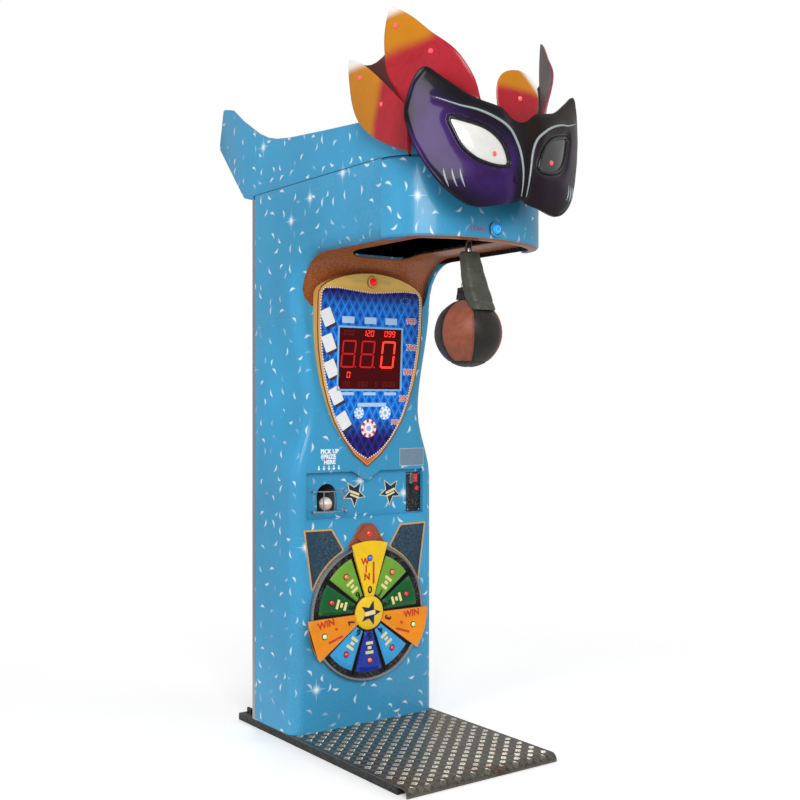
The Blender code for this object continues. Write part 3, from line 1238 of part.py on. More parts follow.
def feather(name, edges, half_thickness):
    """A plume through pairs of points on its two edges, from root to tip, lens-shaped in section."""
    sections = []
    count = len(edges) - 1
    for i, (one, two) in enumerate(edges):
        one, two = Vector(one), Vector(two)
        before = Vector(edges[max(i - 1, 0)][0]) + Vector(edges[max(i - 1, 0)][1])
        after = Vector(edges[min(i + 1, count)][0]) + Vector(edges[min(i + 1, count)][1])
        normal = (after - before).cross(two - one).normalized()
        thick = half_thickness * (1 - 0.75 * i / count)
        ring = []
        for k in range(12):
            angle = 2 * math.pi * k / 12
            here = (one + two) / 2 + (two - one) / 2 * math.cos(angle)
            ring.append(here + normal * thick * math.sin(angle))
        sections.append(ring)
    return loft(name, sections, material("feather_orange", (0.75, 0.20, 0.03), 0.3))


def main():
    clear_scene()
    build_platform()
    build_pillar_casing()
    build_arm_casing()
    build_cove_liner()
    build_arm_nose()
    build_top_fairing()
    build_back()
    build_steelwork()
    build_swing()
    build_display()
    build_console()
    build_dial()
    build_electrics()
    build_mask()


main()
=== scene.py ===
"""Looks for a boxing punch machine: finishes, printed panels, lamps, leather goods and a carnival mask."""

import math

import bmesh
import bpy
import numpy as np
from bpy.props import FloatProperty, FloatVectorProperty, IntProperty, PointerProperty
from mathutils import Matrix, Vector, noise


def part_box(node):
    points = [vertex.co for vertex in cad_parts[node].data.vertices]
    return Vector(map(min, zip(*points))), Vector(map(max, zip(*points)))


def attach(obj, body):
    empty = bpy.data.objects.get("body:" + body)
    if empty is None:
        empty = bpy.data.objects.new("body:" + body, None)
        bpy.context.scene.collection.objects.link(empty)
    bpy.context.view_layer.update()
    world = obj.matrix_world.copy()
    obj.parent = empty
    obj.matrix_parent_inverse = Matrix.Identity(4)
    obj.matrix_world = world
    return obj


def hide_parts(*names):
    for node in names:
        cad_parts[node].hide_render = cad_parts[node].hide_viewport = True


bl_info = {
    "name": "Punch machine looks",
    "version": (1, 0, 0),
    "blender": (4, 5, 0),
    "location": "3D View > Sidebar > Punch machine",
    "description": "Finishes and small pieces for a boxing punch machine",
    "category": "Object",
}

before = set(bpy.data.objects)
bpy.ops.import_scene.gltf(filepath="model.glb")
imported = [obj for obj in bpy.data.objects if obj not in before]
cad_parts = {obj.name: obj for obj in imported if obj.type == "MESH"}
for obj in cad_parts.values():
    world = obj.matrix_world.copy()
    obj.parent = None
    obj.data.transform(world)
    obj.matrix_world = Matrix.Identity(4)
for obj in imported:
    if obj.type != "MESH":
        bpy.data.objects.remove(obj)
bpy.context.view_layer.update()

# Places on the cabinet, in metres
FRONT = 0.1345          # front of the pillar
CONSOLE = 0.1545        # floor of the console's tray
SHIELD_LOW, SHIELD_FOOT, SHIELD_LEAN = 0.963, 0.130, 0.048
WINDOW = (0.137, 1.245, 1.466)
SELECT_Z = 1.633
DIAL_Z = 0.432
DIAL_TOP = 0.1222       # front of the dial's face
HALF_WIDTH = 0.3100
SEAM_Z = 1.9602         # joint between the arm's casing and the crown
COIN_FACE = 0.1502      # front of the coin plate
HUB_FACE = 0.1099       # front of the dial's hub
BACK_FACE = 0.4180      # outside of the rear panel
LENS_FACE = -0.5981     # front of the start button
NOSE_Y = -0.5853
START_Z = 1.742
PIVOT = Vector((0.0, -0.450, 1.810))
BALL = Vector((0.0, -0.450, 1.423))
BALL_RADIUS = 0.111
BEZEL = Vector((0.0, NOSE_Y, START_Z))


# ------------------------------------------------------------------ settings

def linear(code):
    """A linear colour from a six-figure display colour."""
    parts = [int(code[i:i + 2], 16) / 255 for i in (0, 2, 4)]
    return tuple(p / 12.92 if p <= 0.04045 else ((p + 0.055) / 1.055) ** 2.4 for p in parts)


def colour_setting(name, code, words):
    return FloatVectorProperty(name=name, description=words, default=linear(code), subtype="COLOR", size=3,
                               min=0, max=1)


def length_setting(name, value, words):
    return FloatProperty(name=name, description=words, default=value, unit="LENGTH", subtype="DISTANCE",
                         min=0)


class PunchMachineColours(bpy.types.PropertyGroup):
    """Colours of the machine's finishes"""
    casing: colour_setting("Casing", "3b97c3", "Sky blue mouldings")
    fleck: colour_setting("Fleck", "eef6fb", "Printed flecks and sparkles")
    liner: colour_setting("Liner", "a6571f", "Brown panel in the cove")
    gold: colour_setting("Shield border", "dfa850", "Border of the display shield")
    field: colour_setting("Shield field", "1668cf", "Blue field of the display shield")
    brown_leather: colour_setting("Brown leather", "8d4c38", "Brown gores of the ball")
    black_leather: colour_setting("Black leather", "25221e", "Black gores and the rod guard")
    mask: colour_setting("Mask", "341b54", "Purple of the mask's cheeks")
    amber: colour_setting("Plume amber", "bd7710", "Upper part of a plume")
    scarlet: colour_setting("Plume red", "a81f2c", "Lower part of a plume")
    lamp: colour_setting("Lamp", "ff5a62", "Small faceted lamps")


class PunchMachineSizes(bpy.types.PropertyGroup):
    """Sizes of the small pieces"""
    tread_cell: length_setting("Tread cell", 0.0300, "Side of one group of raised bars")
    tread_height: length_setting("Tread height", 0.0011, "Height of a raised bar")
    fleck_spacing: length_setting("Fleck spacing", 0.070, "Distance between printed flecks")
    lamp_radius: length_setting("Lamp radius", 0.0085, "Radius of a faceted lamp")
    dot_radius: length_setting("Dot radius", 0.0030, "Radius of a dot round the shield's field")
    grain: length_setting("Leather grain", 0.0016, "Size of the leather's grain")
    ball_segments: IntProperty(name="Ball segments", description="Facets round the ball", default=96, min=24)


def colours():
    return bpy.context.scene.punch_colours


def sizes():
    return bpy.context.scene.punch_sizes


# ------------------------------------------------------------------ shader nodes

class Wiring:
    """Short calls for making and joining nodes in one tree."""

    def __init__(self, tree):
        self.tree = tree

    def make(self, kind, **settings):
        node = self.tree.nodes.new(kind)
        for name, value in settings.items():
            setattr(node, name, value)
        return node

    def put(self, value, socket):
        value = linear(value) if isinstance(value, str) else value
        if isinstance(value, bpy.types.NodeSocket):
            self.tree.links.new(value, socket)
        elif value is not None:
            wide = socket.type == "RGBA" and len(value) == 3
            socket.default_value = (*value, 1.0) if wide else value

    def math(self, kind, a, b=None, c=None, clamp=False):
        node = self.make("ShaderNodeMath", operation=kind, use_clamp=clamp)
        for value, socket in zip((a, b, c), node.inputs):
            self.put(value, socket)
        return node.outputs[0]

    def times(self, a, b, clamp=False):
        return self.math("MULTIPLY", a, b, clamp=clamp)

    def plus(self, a, b, clamp=False):
        return self.math("ADD", a, b, clamp=clamp)

    def minus(self, a, b):
        return self.math("SUBTRACT", a, b)

    def over(self, a, b, clamp=False):
        return self.math("DIVIDE", a, b, clamp=clamp)

    def most(self, a, b):
        return self.math("MAXIMUM", a, b)

    def least(self, a, b):
        return self.math("MINIMUM", a, b)

    def size(self, a):
        return self.math("ABSOLUTE", a)

    def power(self, a, b):
        return self.math("POWER", a, b)

    def vector(self, kind, a, b=None, scale=None):
        node = self.make("ShaderNodeVectorMath", operation=kind)
        self.put(a, node.inputs[0])
        self.put(b, node.inputs[1])
        self.put(scale, node.inputs[3])
        return node.outputs["Value"] if kind in ("LENGTH", "DISTANCE", "DOT_PRODUCT") else node.outputs[0]

    def mix(self, share, a, b):
        node = self.make("ShaderNodeMix", data_type="RGBA")
        self.put(share, node.inputs[0])
        self.put(a, node.inputs[6])
        self.put(b, node.inputs[7])
        return node.outputs[2]

    def fade(self, value, low, high, to_low=0.0, to_high=1.0):
        node = self.make("ShaderNodeMapRange", interpolation_type="SMOOTHSTEP")
        for setting, socket in zip((value, low, high, to_low, to_high), node.inputs):
            self.put(setting, socket)
        return node.outputs[0]

    def drop(self, value, low, high):
        return self.fade(value, low, high, 1.0, 0.0)

    def place(self):
        return self.make("ShaderNodeTexCoord").outputs["Object"]

    def split(self, vector):
        node = self.make("ShaderNodeSeparateXYZ")
        self.put(vector, node.inputs[0])
        return node.outputs

    def join(self, x, y, z):
        node = self.make("ShaderNodeCombineXYZ")
        for value, socket in zip((x, y, z), node.inputs):
            self.put(value, socket)
        return node.outputs[0]

    def noise(self, vector, scale, detail=3.0, roughness=0.5, distortion=0.0):
        node = self.make("ShaderNodeTexNoise")
        self.put(vector, node.inputs["Vector"])
        self.put(scale, node.inputs["Scale"])
        self.put(detail, node.inputs["Detail"])
        self.put(roughness, node.inputs["Roughness"])
        self.put(distortion, node.inputs["Distortion"])
        return node.outputs["Fac"]

    def cells(self, vector, scale, feature="F1", dimensions="3D", randomness=1.0):
        node = self.make("ShaderNodeTexVoronoi", feature=feature, voronoi_dimensions=dimensions)
        self.put(vector, node.inputs["Vector"])
        self.put(scale, node.inputs["Scale"])
        self.put(randomness, node.inputs["Randomness"])
        return node.outputs

    def group(self, tree, **values):
        node = self.make("ShaderNodeGroup", node_tree=tree)
        for name, value in values.items():
            self.put(value, node.inputs[name.replace("_", " ").capitalize()])
        return node.outputs


def effect(name, inputs, outputs, build):
    """A shared node group, built the first time it is asked for."""
    found = bpy.data.node_groups.get(name)
    if found:
        return found
    tree = bpy.data.node_groups.new(name, "ShaderNodeTree")
    for label, value in inputs:
        socket = tree.interface.new_socket(label, in_out="INPUT", socket_type="NodeSocketFloat")
        socket.default_value = value
    for label in outputs:
        tree.interface.new_socket(label, in_out="OUTPUT", socket_type="NodeSocketFloat")
    wires = Wiring(tree)
    given = wires.make("NodeGroupInput").outputs
    result = build(wires, given)
    end = wires.make("NodeGroupOutput")
    for label, value in zip(outputs, result):
        wires.put(value, end.inputs[label])
    return tree


def fine_grain():
    """Moulding texture: a light and dark shade, and a relief."""
    def build(w, given):
        spot = w.place()
        near = w.noise(spot, w.over(1.0, given["Size"]), 2.0)
        broad = w.noise(spot, w.over(0.02, given["Size"]), 3.0, 0.6)
        shade = w.plus(w.times(near, 0.4), w.times(broad, 0.6))
        return shade, near
    return effect("Fine grain", [("Size", 0.001)], ["Shade", "Relief"], build)


def brushed_lines():
    """Long fine lines along one axis, for rolled or brushed metal."""
    def build(w, given):
        x, y, z = w.split(w.place())
        fine = w.over(1.0, given["Size"])
        stretched = w.join(w.times(x, given["X rate"]), w.times(y, given["Y rate"]),
                           w.times(z, given["Z rate"]))
        lines = w.noise(stretched, fine, 4.0, 0.65)
        return lines, lines
    sockets = [("Size", 0.002), ("X rate", 1.0), ("Y rate", 1.0), ("Z rate", 0.03)]
    return effect("Brushed lines", sockets, ["Shade", "Relief"], build)


def leather_grain():
    """Pebbled leather: creases between small cells, and soft wrinkles."""
    def build(w, given):
        spot = w.place()
        rate = w.over(1.0, given["Size"])
        pebble = w.cells(spot, rate, "SMOOTH_F1")["Distance"]
        small = w.cells(spot, w.times(rate, 2.1))["Distance"]
        creases = w.noise(spot, w.times(rate, 0.05), 5.0, 0.6, 1.2)
        high = w.plus(w.times(pebble, -0.6), w.times(small, -0.25))
        relief = w.plus(w.plus(high, 0.8), w.times(creases, 0.5))
        return creases, relief
    return effect("Leather grain", [("Size", 0.0016)], ["Shade", "Relief"], build)


def scuff_marks():
    """Thin scratches in two directions, broken up by patches."""
    def build(w, given):
        spot = w.place()
        marks = None
        for turn in ((0.2, 0.4, 0.9), (1.1, 0.3, 2.0)):
            bent = w.make("ShaderNodeMapping")
            w.put(spot, bent.inputs["Vector"])
            w.put(turn, bent.inputs["Rotation"])
            w.put((1.0, 0.06, 1.0), bent.inputs["Scale"])
            line = w.noise(bent.outputs[0], w.over(1.0, given["Size"]), 2.0)
            line = w.fade(line, 0.66, 0.74)
            marks = line if marks is None else w.most(marks, line)
        patch = w.fade(w.noise(spot, w.over(0.03, given["Size"]), 2.0), 0.45, 0.7)
        return (w.times(w.times(marks, patch), given["Amount"], clamp=True),)
    return effect("Scuff marks", [("Size", 0.004), ("Amount", 0.5)], ["Mask"], build)


def worn_edges():
    """Corners where a finish has rubbed thin."""
    def build(w, given):
        point = w.make("ShaderNodeNewGeometry").outputs["Pointiness"]
        edge = w.fade(point, 0.53, 0.60)
        ragged = w.fade(w.noise(w.place(), 160.0, 3.0), 0.42, 0.62)
        return (w.times(w.times(edge, ragged), given["Amount"], clamp=True),)
    return effect("Worn edges", [("Amount", 0.5)], ["Mask"], build)


def settled_dust():
    """A thin film on faces that look up."""
    def build(w, given):
        up = w.split(w.make("ShaderNodeNewGeometry").outputs["Normal"])["Z"]
        film = w.fade(up, 0.35, 0.95)
        cloud = w.fade(w.noise(w.place(), 22.0, 4.0, 0.6), 0.3, 0.75)
        return (w.times(w.times(film, cloud), given["Amount"], clamp=True),)
    return effect("Settled dust", [("Amount", 0.2)], ["Mask"], build)


GRAINS = {"fine": fine_grain, "brushed": brushed_lines, "leather": leather_grain}


def blank(name):
    """A new material, its wiring and its Principled shader."""
    made = bpy.data.materials.new(name)
    made.use_nodes = True
    return made, Wiring(made.node_tree), made.node_tree.nodes["Principled BSDF"]


def surface(name, colour, roughness=0.4, metallic=0.0, grain="fine", size=0.0012, relief=0.15, shade=0.12,
            scuffs=0.25, wear=0.3, dust=0.15, coat=0.0, sheen=0.0, glow=None, glow_strength=0.0, rates=None,
            paint=None, bare=None, gloss=0.28):
    """A finish with grain, uneven shade, scuffs, worn edges and dust. Paint takes over its base colour."""
    found = bpy.data.materials.get(name)
    if found:
        return found
    colour, glow = (linear(c) if isinstance(c, str) else c for c in (colour, glow))
    made, w, shader = blank(name)
    grains = w.group(GRAINS[grain](), size=size, **(rates or {}))
    base = paint(w) if paint else colour
    deep = w.mix(w.fade(grains["Shade"], 0.3, 0.7), darker(w, base, 1 - shade),
                 darker(w, base, 1 + shade * 0.5))
    edge = w.group(worn_edges(), amount=wear)["Mask"]
    film = w.group(settled_dust(), amount=dust)["Mask"]
    marks = w.group(scuff_marks(), amount=scuffs)["Mask"]
    rubbed = bare or tuple(0.55 * c + 0.45 * 0.6 for c in colour)
    tint = w.mix(edge, deep, rubbed)
    tint = w.mix(w.times(marks, 0.35), tint, rubbed)
    w.put(w.mix(film, tint, (0.42, 0.40, 0.37)), shader.inputs["Base Color"])
    rough = w.plus(roughness, w.times(w.minus(grains["Shade"], 0.5), 0.16))
    rough = w.plus(rough, w.times(w.plus(marks, film), 0.25), clamp=True)
    w.put(rough, shader.inputs["Roughness"])
    bump = w.make("ShaderNodeBump")
    w.put(relief, bump.inputs["Strength"])
    w.put(size * 0.35, bump.inputs["Distance"])
    w.put(grains["Relief"], bump.inputs["Height"])
    w.put(bump.outputs[0], shader.inputs["Normal"])
    shader.inputs["Metallic"].default_value = metallic
    shader.inputs["Coat Weight"].default_value = coat
    shader.inputs["Coat Roughness"].default_value = 0.06
    shader.inputs["Specular IOR Level"].default_value = 0.5 if metallic > 0.5 else gloss
    shader.inputs["Sheen Weight"].default_value = sheen
    if glow:
        shader.inputs["Emission Color"].default_value = (*glow, 1.0)
        shader.inputs["Emission Strength"].default_value = glow_strength
    return made


def darker(w, colour, times):
    """A colour multiplied by a number."""
    if not isinstance(colour, bpy.types.NodeSocket):
        return tuple(min(c * times, 1.0) for c in colour)
    return w.vector("SCALE", colour, scale=times)


def beyond(w, spot, centre, low, high, flat=None):
    """1 near a place, fading to 0. Flat leaves out one axis, to give a column and not a ball."""
    away = w.vector("SUBTRACT", spot, tuple(centre))
    if flat is not None:
        keep = [1.0, 1.0, 1.0]
        keep[flat] = 0.0
        away = w.vector("MULTIPLY", away, tuple(keep))
    return w.drop(w.vector("LENGTH", away), low, high)


# ------------------------------------------------------------------ meshes

def linked(name, data):
    """An object in the scene that holds a mesh, a curve, a lamp or a camera."""
    made = bpy.data.objects.new(name, data)
    bpy.context.scene.collection.objects.link(made)
    return made


def finish_piece(name, bm, looks, angle=35, body="machine"):
    """Makes a bmesh into a named piece that rides on a body."""
    bmesh.ops.recalc_face_normals(bm, faces=bm.faces)
    mesh = bpy.data.meshes.new(name)
    bm.to_mesh(mesh)
    bm.free()
    mesh.shade_smooth()
    mesh.set_sharp_from_angle(angle=math.radians(angle))
    for look in looks:
        mesh.materials.append(look)
    piece = linked(name, mesh)
    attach(piece, body)
    return piece


def bridge(bm, rings, look=0, caps=True, wrap=True):
    """Joins rows of points with quads."""
    made = [[bm.verts.new(p) for p in ring] for ring in rings]
    for one, two in zip(made, made[1:]):
        for i in range(len(one) if wrap else len(one) - 1):
            j = (i + 1) % len(one)
            face = bm.faces.new((one[i], one[j], two[j], two[i]))
            face.material_index = look
    if caps:
        for ring in (made[0], made[-1]):
            bm.faces.new(ring).material_index = look
    return made


def turns(count, start=0.0):
    """Angles at an even spacing round a circle."""
    return [start + 2 * math.pi * k / count for k in range(count)]


def lathe(bm, profile, centre, axis, steps=32, look=0):
    """Spins points of (radius, height) about an axis through centre."""
    across = {"X": ((0, 1, 0), (0, 0, 1)), "Y": ((1, 0, 0), (0, 0, 1)), "Z": ((1, 0, 0), (0, 1, 0))}[axis]
    one, two = Vector(across[0]), Vector(across[1])
    along = Vector([1.0 if a == axis else 0.0 for a in "XYZ"])
    rings = []
    for radius, height in profile:
        rings.append([Vector(centre) + along * height + (one * math.cos(a) + two * math.sin(a))
                      * max(radius, 1e-5) for a in turns(steps)])
    bridge(bm, rings, look)


def tube(bm, points, radius, look=0, closed=False, steps=8):
    """A round bar along a row of points."""
    points = [Vector(p) for p in points]
    count = len(points)
    rings = []
    side = None
    for i, point in enumerate(points):
        before = points[i - 1] if closed or i > 0 else point
        after = points[(i + 1) % count] if closed or i < count - 1 else point
        ahead = (after - before).normalized()
        side = (ahead.orthogonal() if side is None else side - ahead * side.dot(ahead)).normalized()
        up = ahead.cross(side)
        r = radius[i] if isinstance(radius, (list, tuple)) else radius
        rings.append([point + r * (math.cos(a) * side + math.sin(a) * up) for a in turns(steps)])
    if closed:
        rings.append(rings[0])
    bridge(bm, rings, look, caps=not closed)
    if closed:
        bmesh.ops.remove_doubles(bm, verts=bm.verts, dist=1e-7)


def inset(outline, distance):
    """An anticlockwise outline moved inwards."""
    moved = []
    count = len(outline)
    for i in range(count):
        before, here, after = (Vector(outline[(i + k) % count]) for k in (-1, 0, 1))
        one, two = (here - before).normalized(), (after - here).normalized()
        inward = Vector((-one.y - two.y, one.x + two.x)).normalized()
        moved.append(tuple(here + inward * distance / max(inward.dot(Vector((-one.y, one.x))), 0.35)))
    return moved


def split_ends(bm, before=0):
    """Splits the many-sided faces made since a count of faces."""
    bm.normal_update()
    bm.faces.ensure_lookup_table()
    bmesh.ops.triangulate(bm, faces=[f for f in bm.faces[before:] if len(f.verts) > 4])


def raised(bm, outline, place, low, high, round_by=0.0004, look=0):
    """A plate with a rounded rim from an anticlockwise outline. Place turns (a, b, height) into a point."""
    rim = inset(outline, round_by)
    rings = [[place(a, b, low) for a, b in outline], [place(a, b, high - round_by) for a, b in outline],
             [place(a, b, high) for a, b in rim]]
    before = len(bm.faces)
    bridge(bm, rings, look)
    split_ends(bm, before)


def on_front(y):
    """Places on an upright face that looks to the front."""
    return lambda a, b, t: Vector((a, y - t, b))


def on_shield(a, b, t):
    """Places on the leaning face of the shield."""
    return Vector((a, SHIELD_FOOT - (b - SHIELD_LOW) * SHIELD_LEAN - t, b))


def circle(x, z, radius, steps=24):
    """Points round a circle."""
    return [(x + radius * math.cos(a), z + radius * math.sin(a)) for a in turns(steps)]


def star(x, z, outer, inner, points=5, turn=0.0):
    outline = []
    for k in range(points * 2):
        angle = turn + math.pi / 2 + math.pi * k / points
        radius = outer if k % 2 == 0 else inner
        outline.append((x + radius * math.cos(angle), z + radius * math.sin(angle)))
    return outline


def turned_box(x, z, wide, high, angle, cut=0.0):
    """A rectangle turned about its middle, with its corners cut off."""
    a, b = wide / 2, high / 2
    corners = [(-a + cut, -b), (a - cut, -b), (a, -b + cut), (a, b - cut), (a - cut, b), (-a + cut, b),
               (-a, b - cut), (-a, -b + cut)] if cut else [(-a, -b), (a, -b), (a, b), (-a, b)]
    c, s = math.cos(angle), math.sin(angle)
    return [(x + p * c - q * s, z + p * s + q * c) for p, q in corners]


def dome(bm, centre, out, radius, height, look=0, sides=10, rows=3):
    """A small faceted dome that stands on a surface."""
    out = Vector(out).normalized()
    one = out.orthogonal().normalized()
    two = out.cross(one)
    rings = []
    for row in range(rows + 1):
        angle = math.pi / 2 * row / rows
        r, h = max(radius * math.cos(angle), 1e-5), height * math.sin(angle)
        spread = [2 * math.pi * (k + 0.5 * (row % 2)) / sides for k in range(sides)]
        rings.append([Vector(centre) + out * h + r * (one * math.cos(a) + two * math.sin(a))
                      for a in spread])
    bridge(bm, rings, look)


def lettering(name, words, size, place, at, height, look, turn=0.0, grow=0.0):
    """Raised figures or an everyday word on a surface."""
    curve = bpy.data.curves.new(name + "_shape", "FONT")
    curve.body = words
    curve.size = size
    curve.align_x = "CENTER"
    curve.align_y = "CENTER"
    curve.extrude = 0.5
    curve.offset = grow
    curve.resolution_u = 3
    shape = linked(name + "_shape", curve)
    bpy.context.view_layer.update()
    solid = shape.evaluated_get(bpy.context.evaluated_depsgraph_get()).to_mesh()
    bm = bmesh.new()
    bm.from_mesh(solid)
    c, s = math.cos(turn), math.sin(turn)
    for vert in bm.verts:
        x, y, z = vert.co
        vert.co = place(at[0] + x * c - y * s, at[1] + x * s + y * c, height[0] if z < 0 else height[1])
    bpy.data.objects.remove(shape)
    return finish_piece(name, bm, [look])


def dress(names, look, angle=32):
    """Gives CAD nodes a finish, with smooth shading up to an angle."""
    for name in names:
        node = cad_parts[name]
        node.data.materials.clear()
        node.data.materials.append(look)
        if "custom_normal" in node.data.attributes:
            node.data.attributes.remove(node.data.attributes["custom_normal"])
        node.data.shade_smooth()
        weld = node.modifiers.new("weld", "WELD")
        weld.merge_threshold = 1e-5
        split = node.modifiers.new("edges", "EDGE_SPLIT")
        split.split_angle = math.radians(angle)
        split.use_edge_sharp = False


def printed_flecks():
    """Soft curved flecks and star sparkles, spread over the front, the sides and the top."""
    def build(w, given):
        x, y, z = w.split(w.place())
        normal = w.split(w.make("ShaderNodeNewGeometry").outputs["Normal"])
        round_fold = w.times(w.math("SIGN", x), w.minus(y, given["Fold"]))
        level = w.math("GREATER_THAN", w.size(normal["Z"]), 0.75)
        across = w.plus(x, w.times(round_fold, w.minus(1.0, level)))
        up = w.plus(w.times(z, w.minus(1.0, level)), w.times(y, level))
        spot = w.join(across, up, 0.0)
        cell = w.cells(spot, w.over(1.0, given["Spacing"]), dimensions="2D", randomness=0.9)
        chance = w.make("ShaderNodeSeparateColor")
        w.put(cell["Color"], chance.inputs[0])
        turned = w.make("ShaderNodeVectorRotate", rotation_type="Z_AXIS")
        w.put(w.vector("SUBTRACT", spot, cell["Position"]), turned.inputs["Vector"])
        w.put(w.times(chance.outputs[0], 6.283), turned.inputs["Angle"])
        a, b, _ = w.split(turned.outputs[0])
        length = w.math("MULTIPLY_ADD", chance.outputs[1], 0.007, 0.0145)
        along = w.power(w.over(a, length), 2.0)
        fat = w.math("MULTIPLY_ADD", w.over(a, length), 0.0030, 0.0062)
        thick = w.times(w.minus(1.0, along), fat)
        off = w.size(w.minus(b, w.times(along, 0.0080)))
        fleck = w.over(w.minus(thick, off), 0.0062, clamp=True)
        fleck = w.times(fleck, w.fade(chance.outputs[2], 0.0, 0.7, 0.15, 0.95))
        wide = w.cells(spot, w.over(0.19, given["Spacing"]), dimensions="2D", randomness=1.0)
        p, q, _ = w.split(w.vector("SUBTRACT", spot, wide["Position"]))
        p, q = w.size(p), w.size(q)
        rays = w.times(w.drop(p, 0.0, 0.0030), w.drop(q, 0.0, 0.050))
        cross = w.times(w.drop(q, 0.0, 0.0030), w.drop(p, 0.0, 0.050))
        core = w.drop(wide["Distance"], 0.0, w.times(given["Spacing"], 1.4))
        core = w.power(core, 3.5)
        sparkle = w.most(core, w.times(w.most(rays, cross), 0.7))
        return fleck, sparkle
    sockets = [("Spacing", 0.062), ("Fold", 0.1345)]
    return effect("Printed flecks", sockets, ["Fleck", "Sparkle"], build)


def casing_finish(name, fold, dark=False):
    """Glossy sky blue moulding with the printed flecks, and the inside of the arm painted near black as its
    shade.
    """
    look = colours()

    def paint(w):
        printed = w.group(printed_flecks(), spacing=sizes().fleck_spacing, fold=fold)
        tone = w.fade(w.noise(w.place(), 1.6, 3.0, 0.5), 0.3, 0.7)
        base = w.mix(tone, darker(w, tuple(look.casing), 0.90), darker(w, tuple(look.casing), 1.10))
        light = w.most(printed["Fleck"], printed["Sparkle"])
        x, y, z = w.split(w.place())
        under = w.times(w.drop(z, 1.7120, 1.7135), w.fade(z, 1.60, 1.61))
        under = w.times(under, w.drop(w.size(x), 0.270, 0.272))
        blue = w.mix(under, w.mix(light, base, tuple(look.fleck)), tuple(look.liner))
        if not dark:
            return blue
        # Painted shade: the inner walls, roof and floor of the arm's hollow are painted near black.
        ahead = w.least(w.plus(y, 0.400), 0.0)
        facing = w.make("ShaderNodeNewGeometry").outputs["True Normal"]
        inwards = w.fade(w.vector("DOT_PRODUCT", w.join(x, ahead, 0.0), facing), -0.03, -0.06)
        up = w.split(facing)[2]
        walls = w.times(inwards, w.fade(z, 2.13, 2.12))
        roof = w.times(w.fade(up, -0.3, -0.5), w.fade(z, 1.79, 1.80))
        plate = w.times(w.fade(up, 0.3, 0.5), w.fade(z, 1.80, 1.79))
        within = w.most(walls, w.most(roof, plate))
        within = w.times(within, w.fade(z, 1.7125, 1.7135))
        within = w.times(within, w.fade(y, 0.405, 0.400))
        return w.mix(within, blue, "0b0c0e")
    return surface(name, tuple(look.casing), 0.24, size=0.0022, relief=0.10, shade=0.05, scuffs=0.06,
                   wear=0.10, dust=0.03, coat=0.14, paint=paint)


class PUNCH_OT_casings(bpy.types.Operator):
    """Blue mouldings, the brown cove and a dark seam bead along each side of the arm"""
    bl_idname = "punch.casings"
    bl_label = "Casings"

    def execute(self, context):
        look = colours()
        dress(["pillar_casing", "console_panel"], casing_finish("blue_casing", FRONT))
        dress(["arm_casing", "top_fairing"], casing_finish("blue_arm", FRONT, True))
        dress(["arm_nose"], casing_finish("blue_nose", NOSE_Y, True))
        dress(["cove_liner"], surface("brown_liner", tuple(look.liner), 0.30, size=0.0016, relief=0.03,
                                      shade=0.08, scuffs=0.1, coat=0.12, dust=0.0, gloss=0.2))
        bm = bmesh.new()
        for side in (-1, 1):
            tube(bm, [(side * HALF_WIDTH, y / 100, SEAM_Z) for y in range(-40, 42, 9)], 0.0013, steps=8)
        finish_piece("arm_seam", bm, [plain("seam_dark", "1d3f52", 0.5)], 60)
        return {"FINISHED"}


# ------------------------------------------------------------------ platform

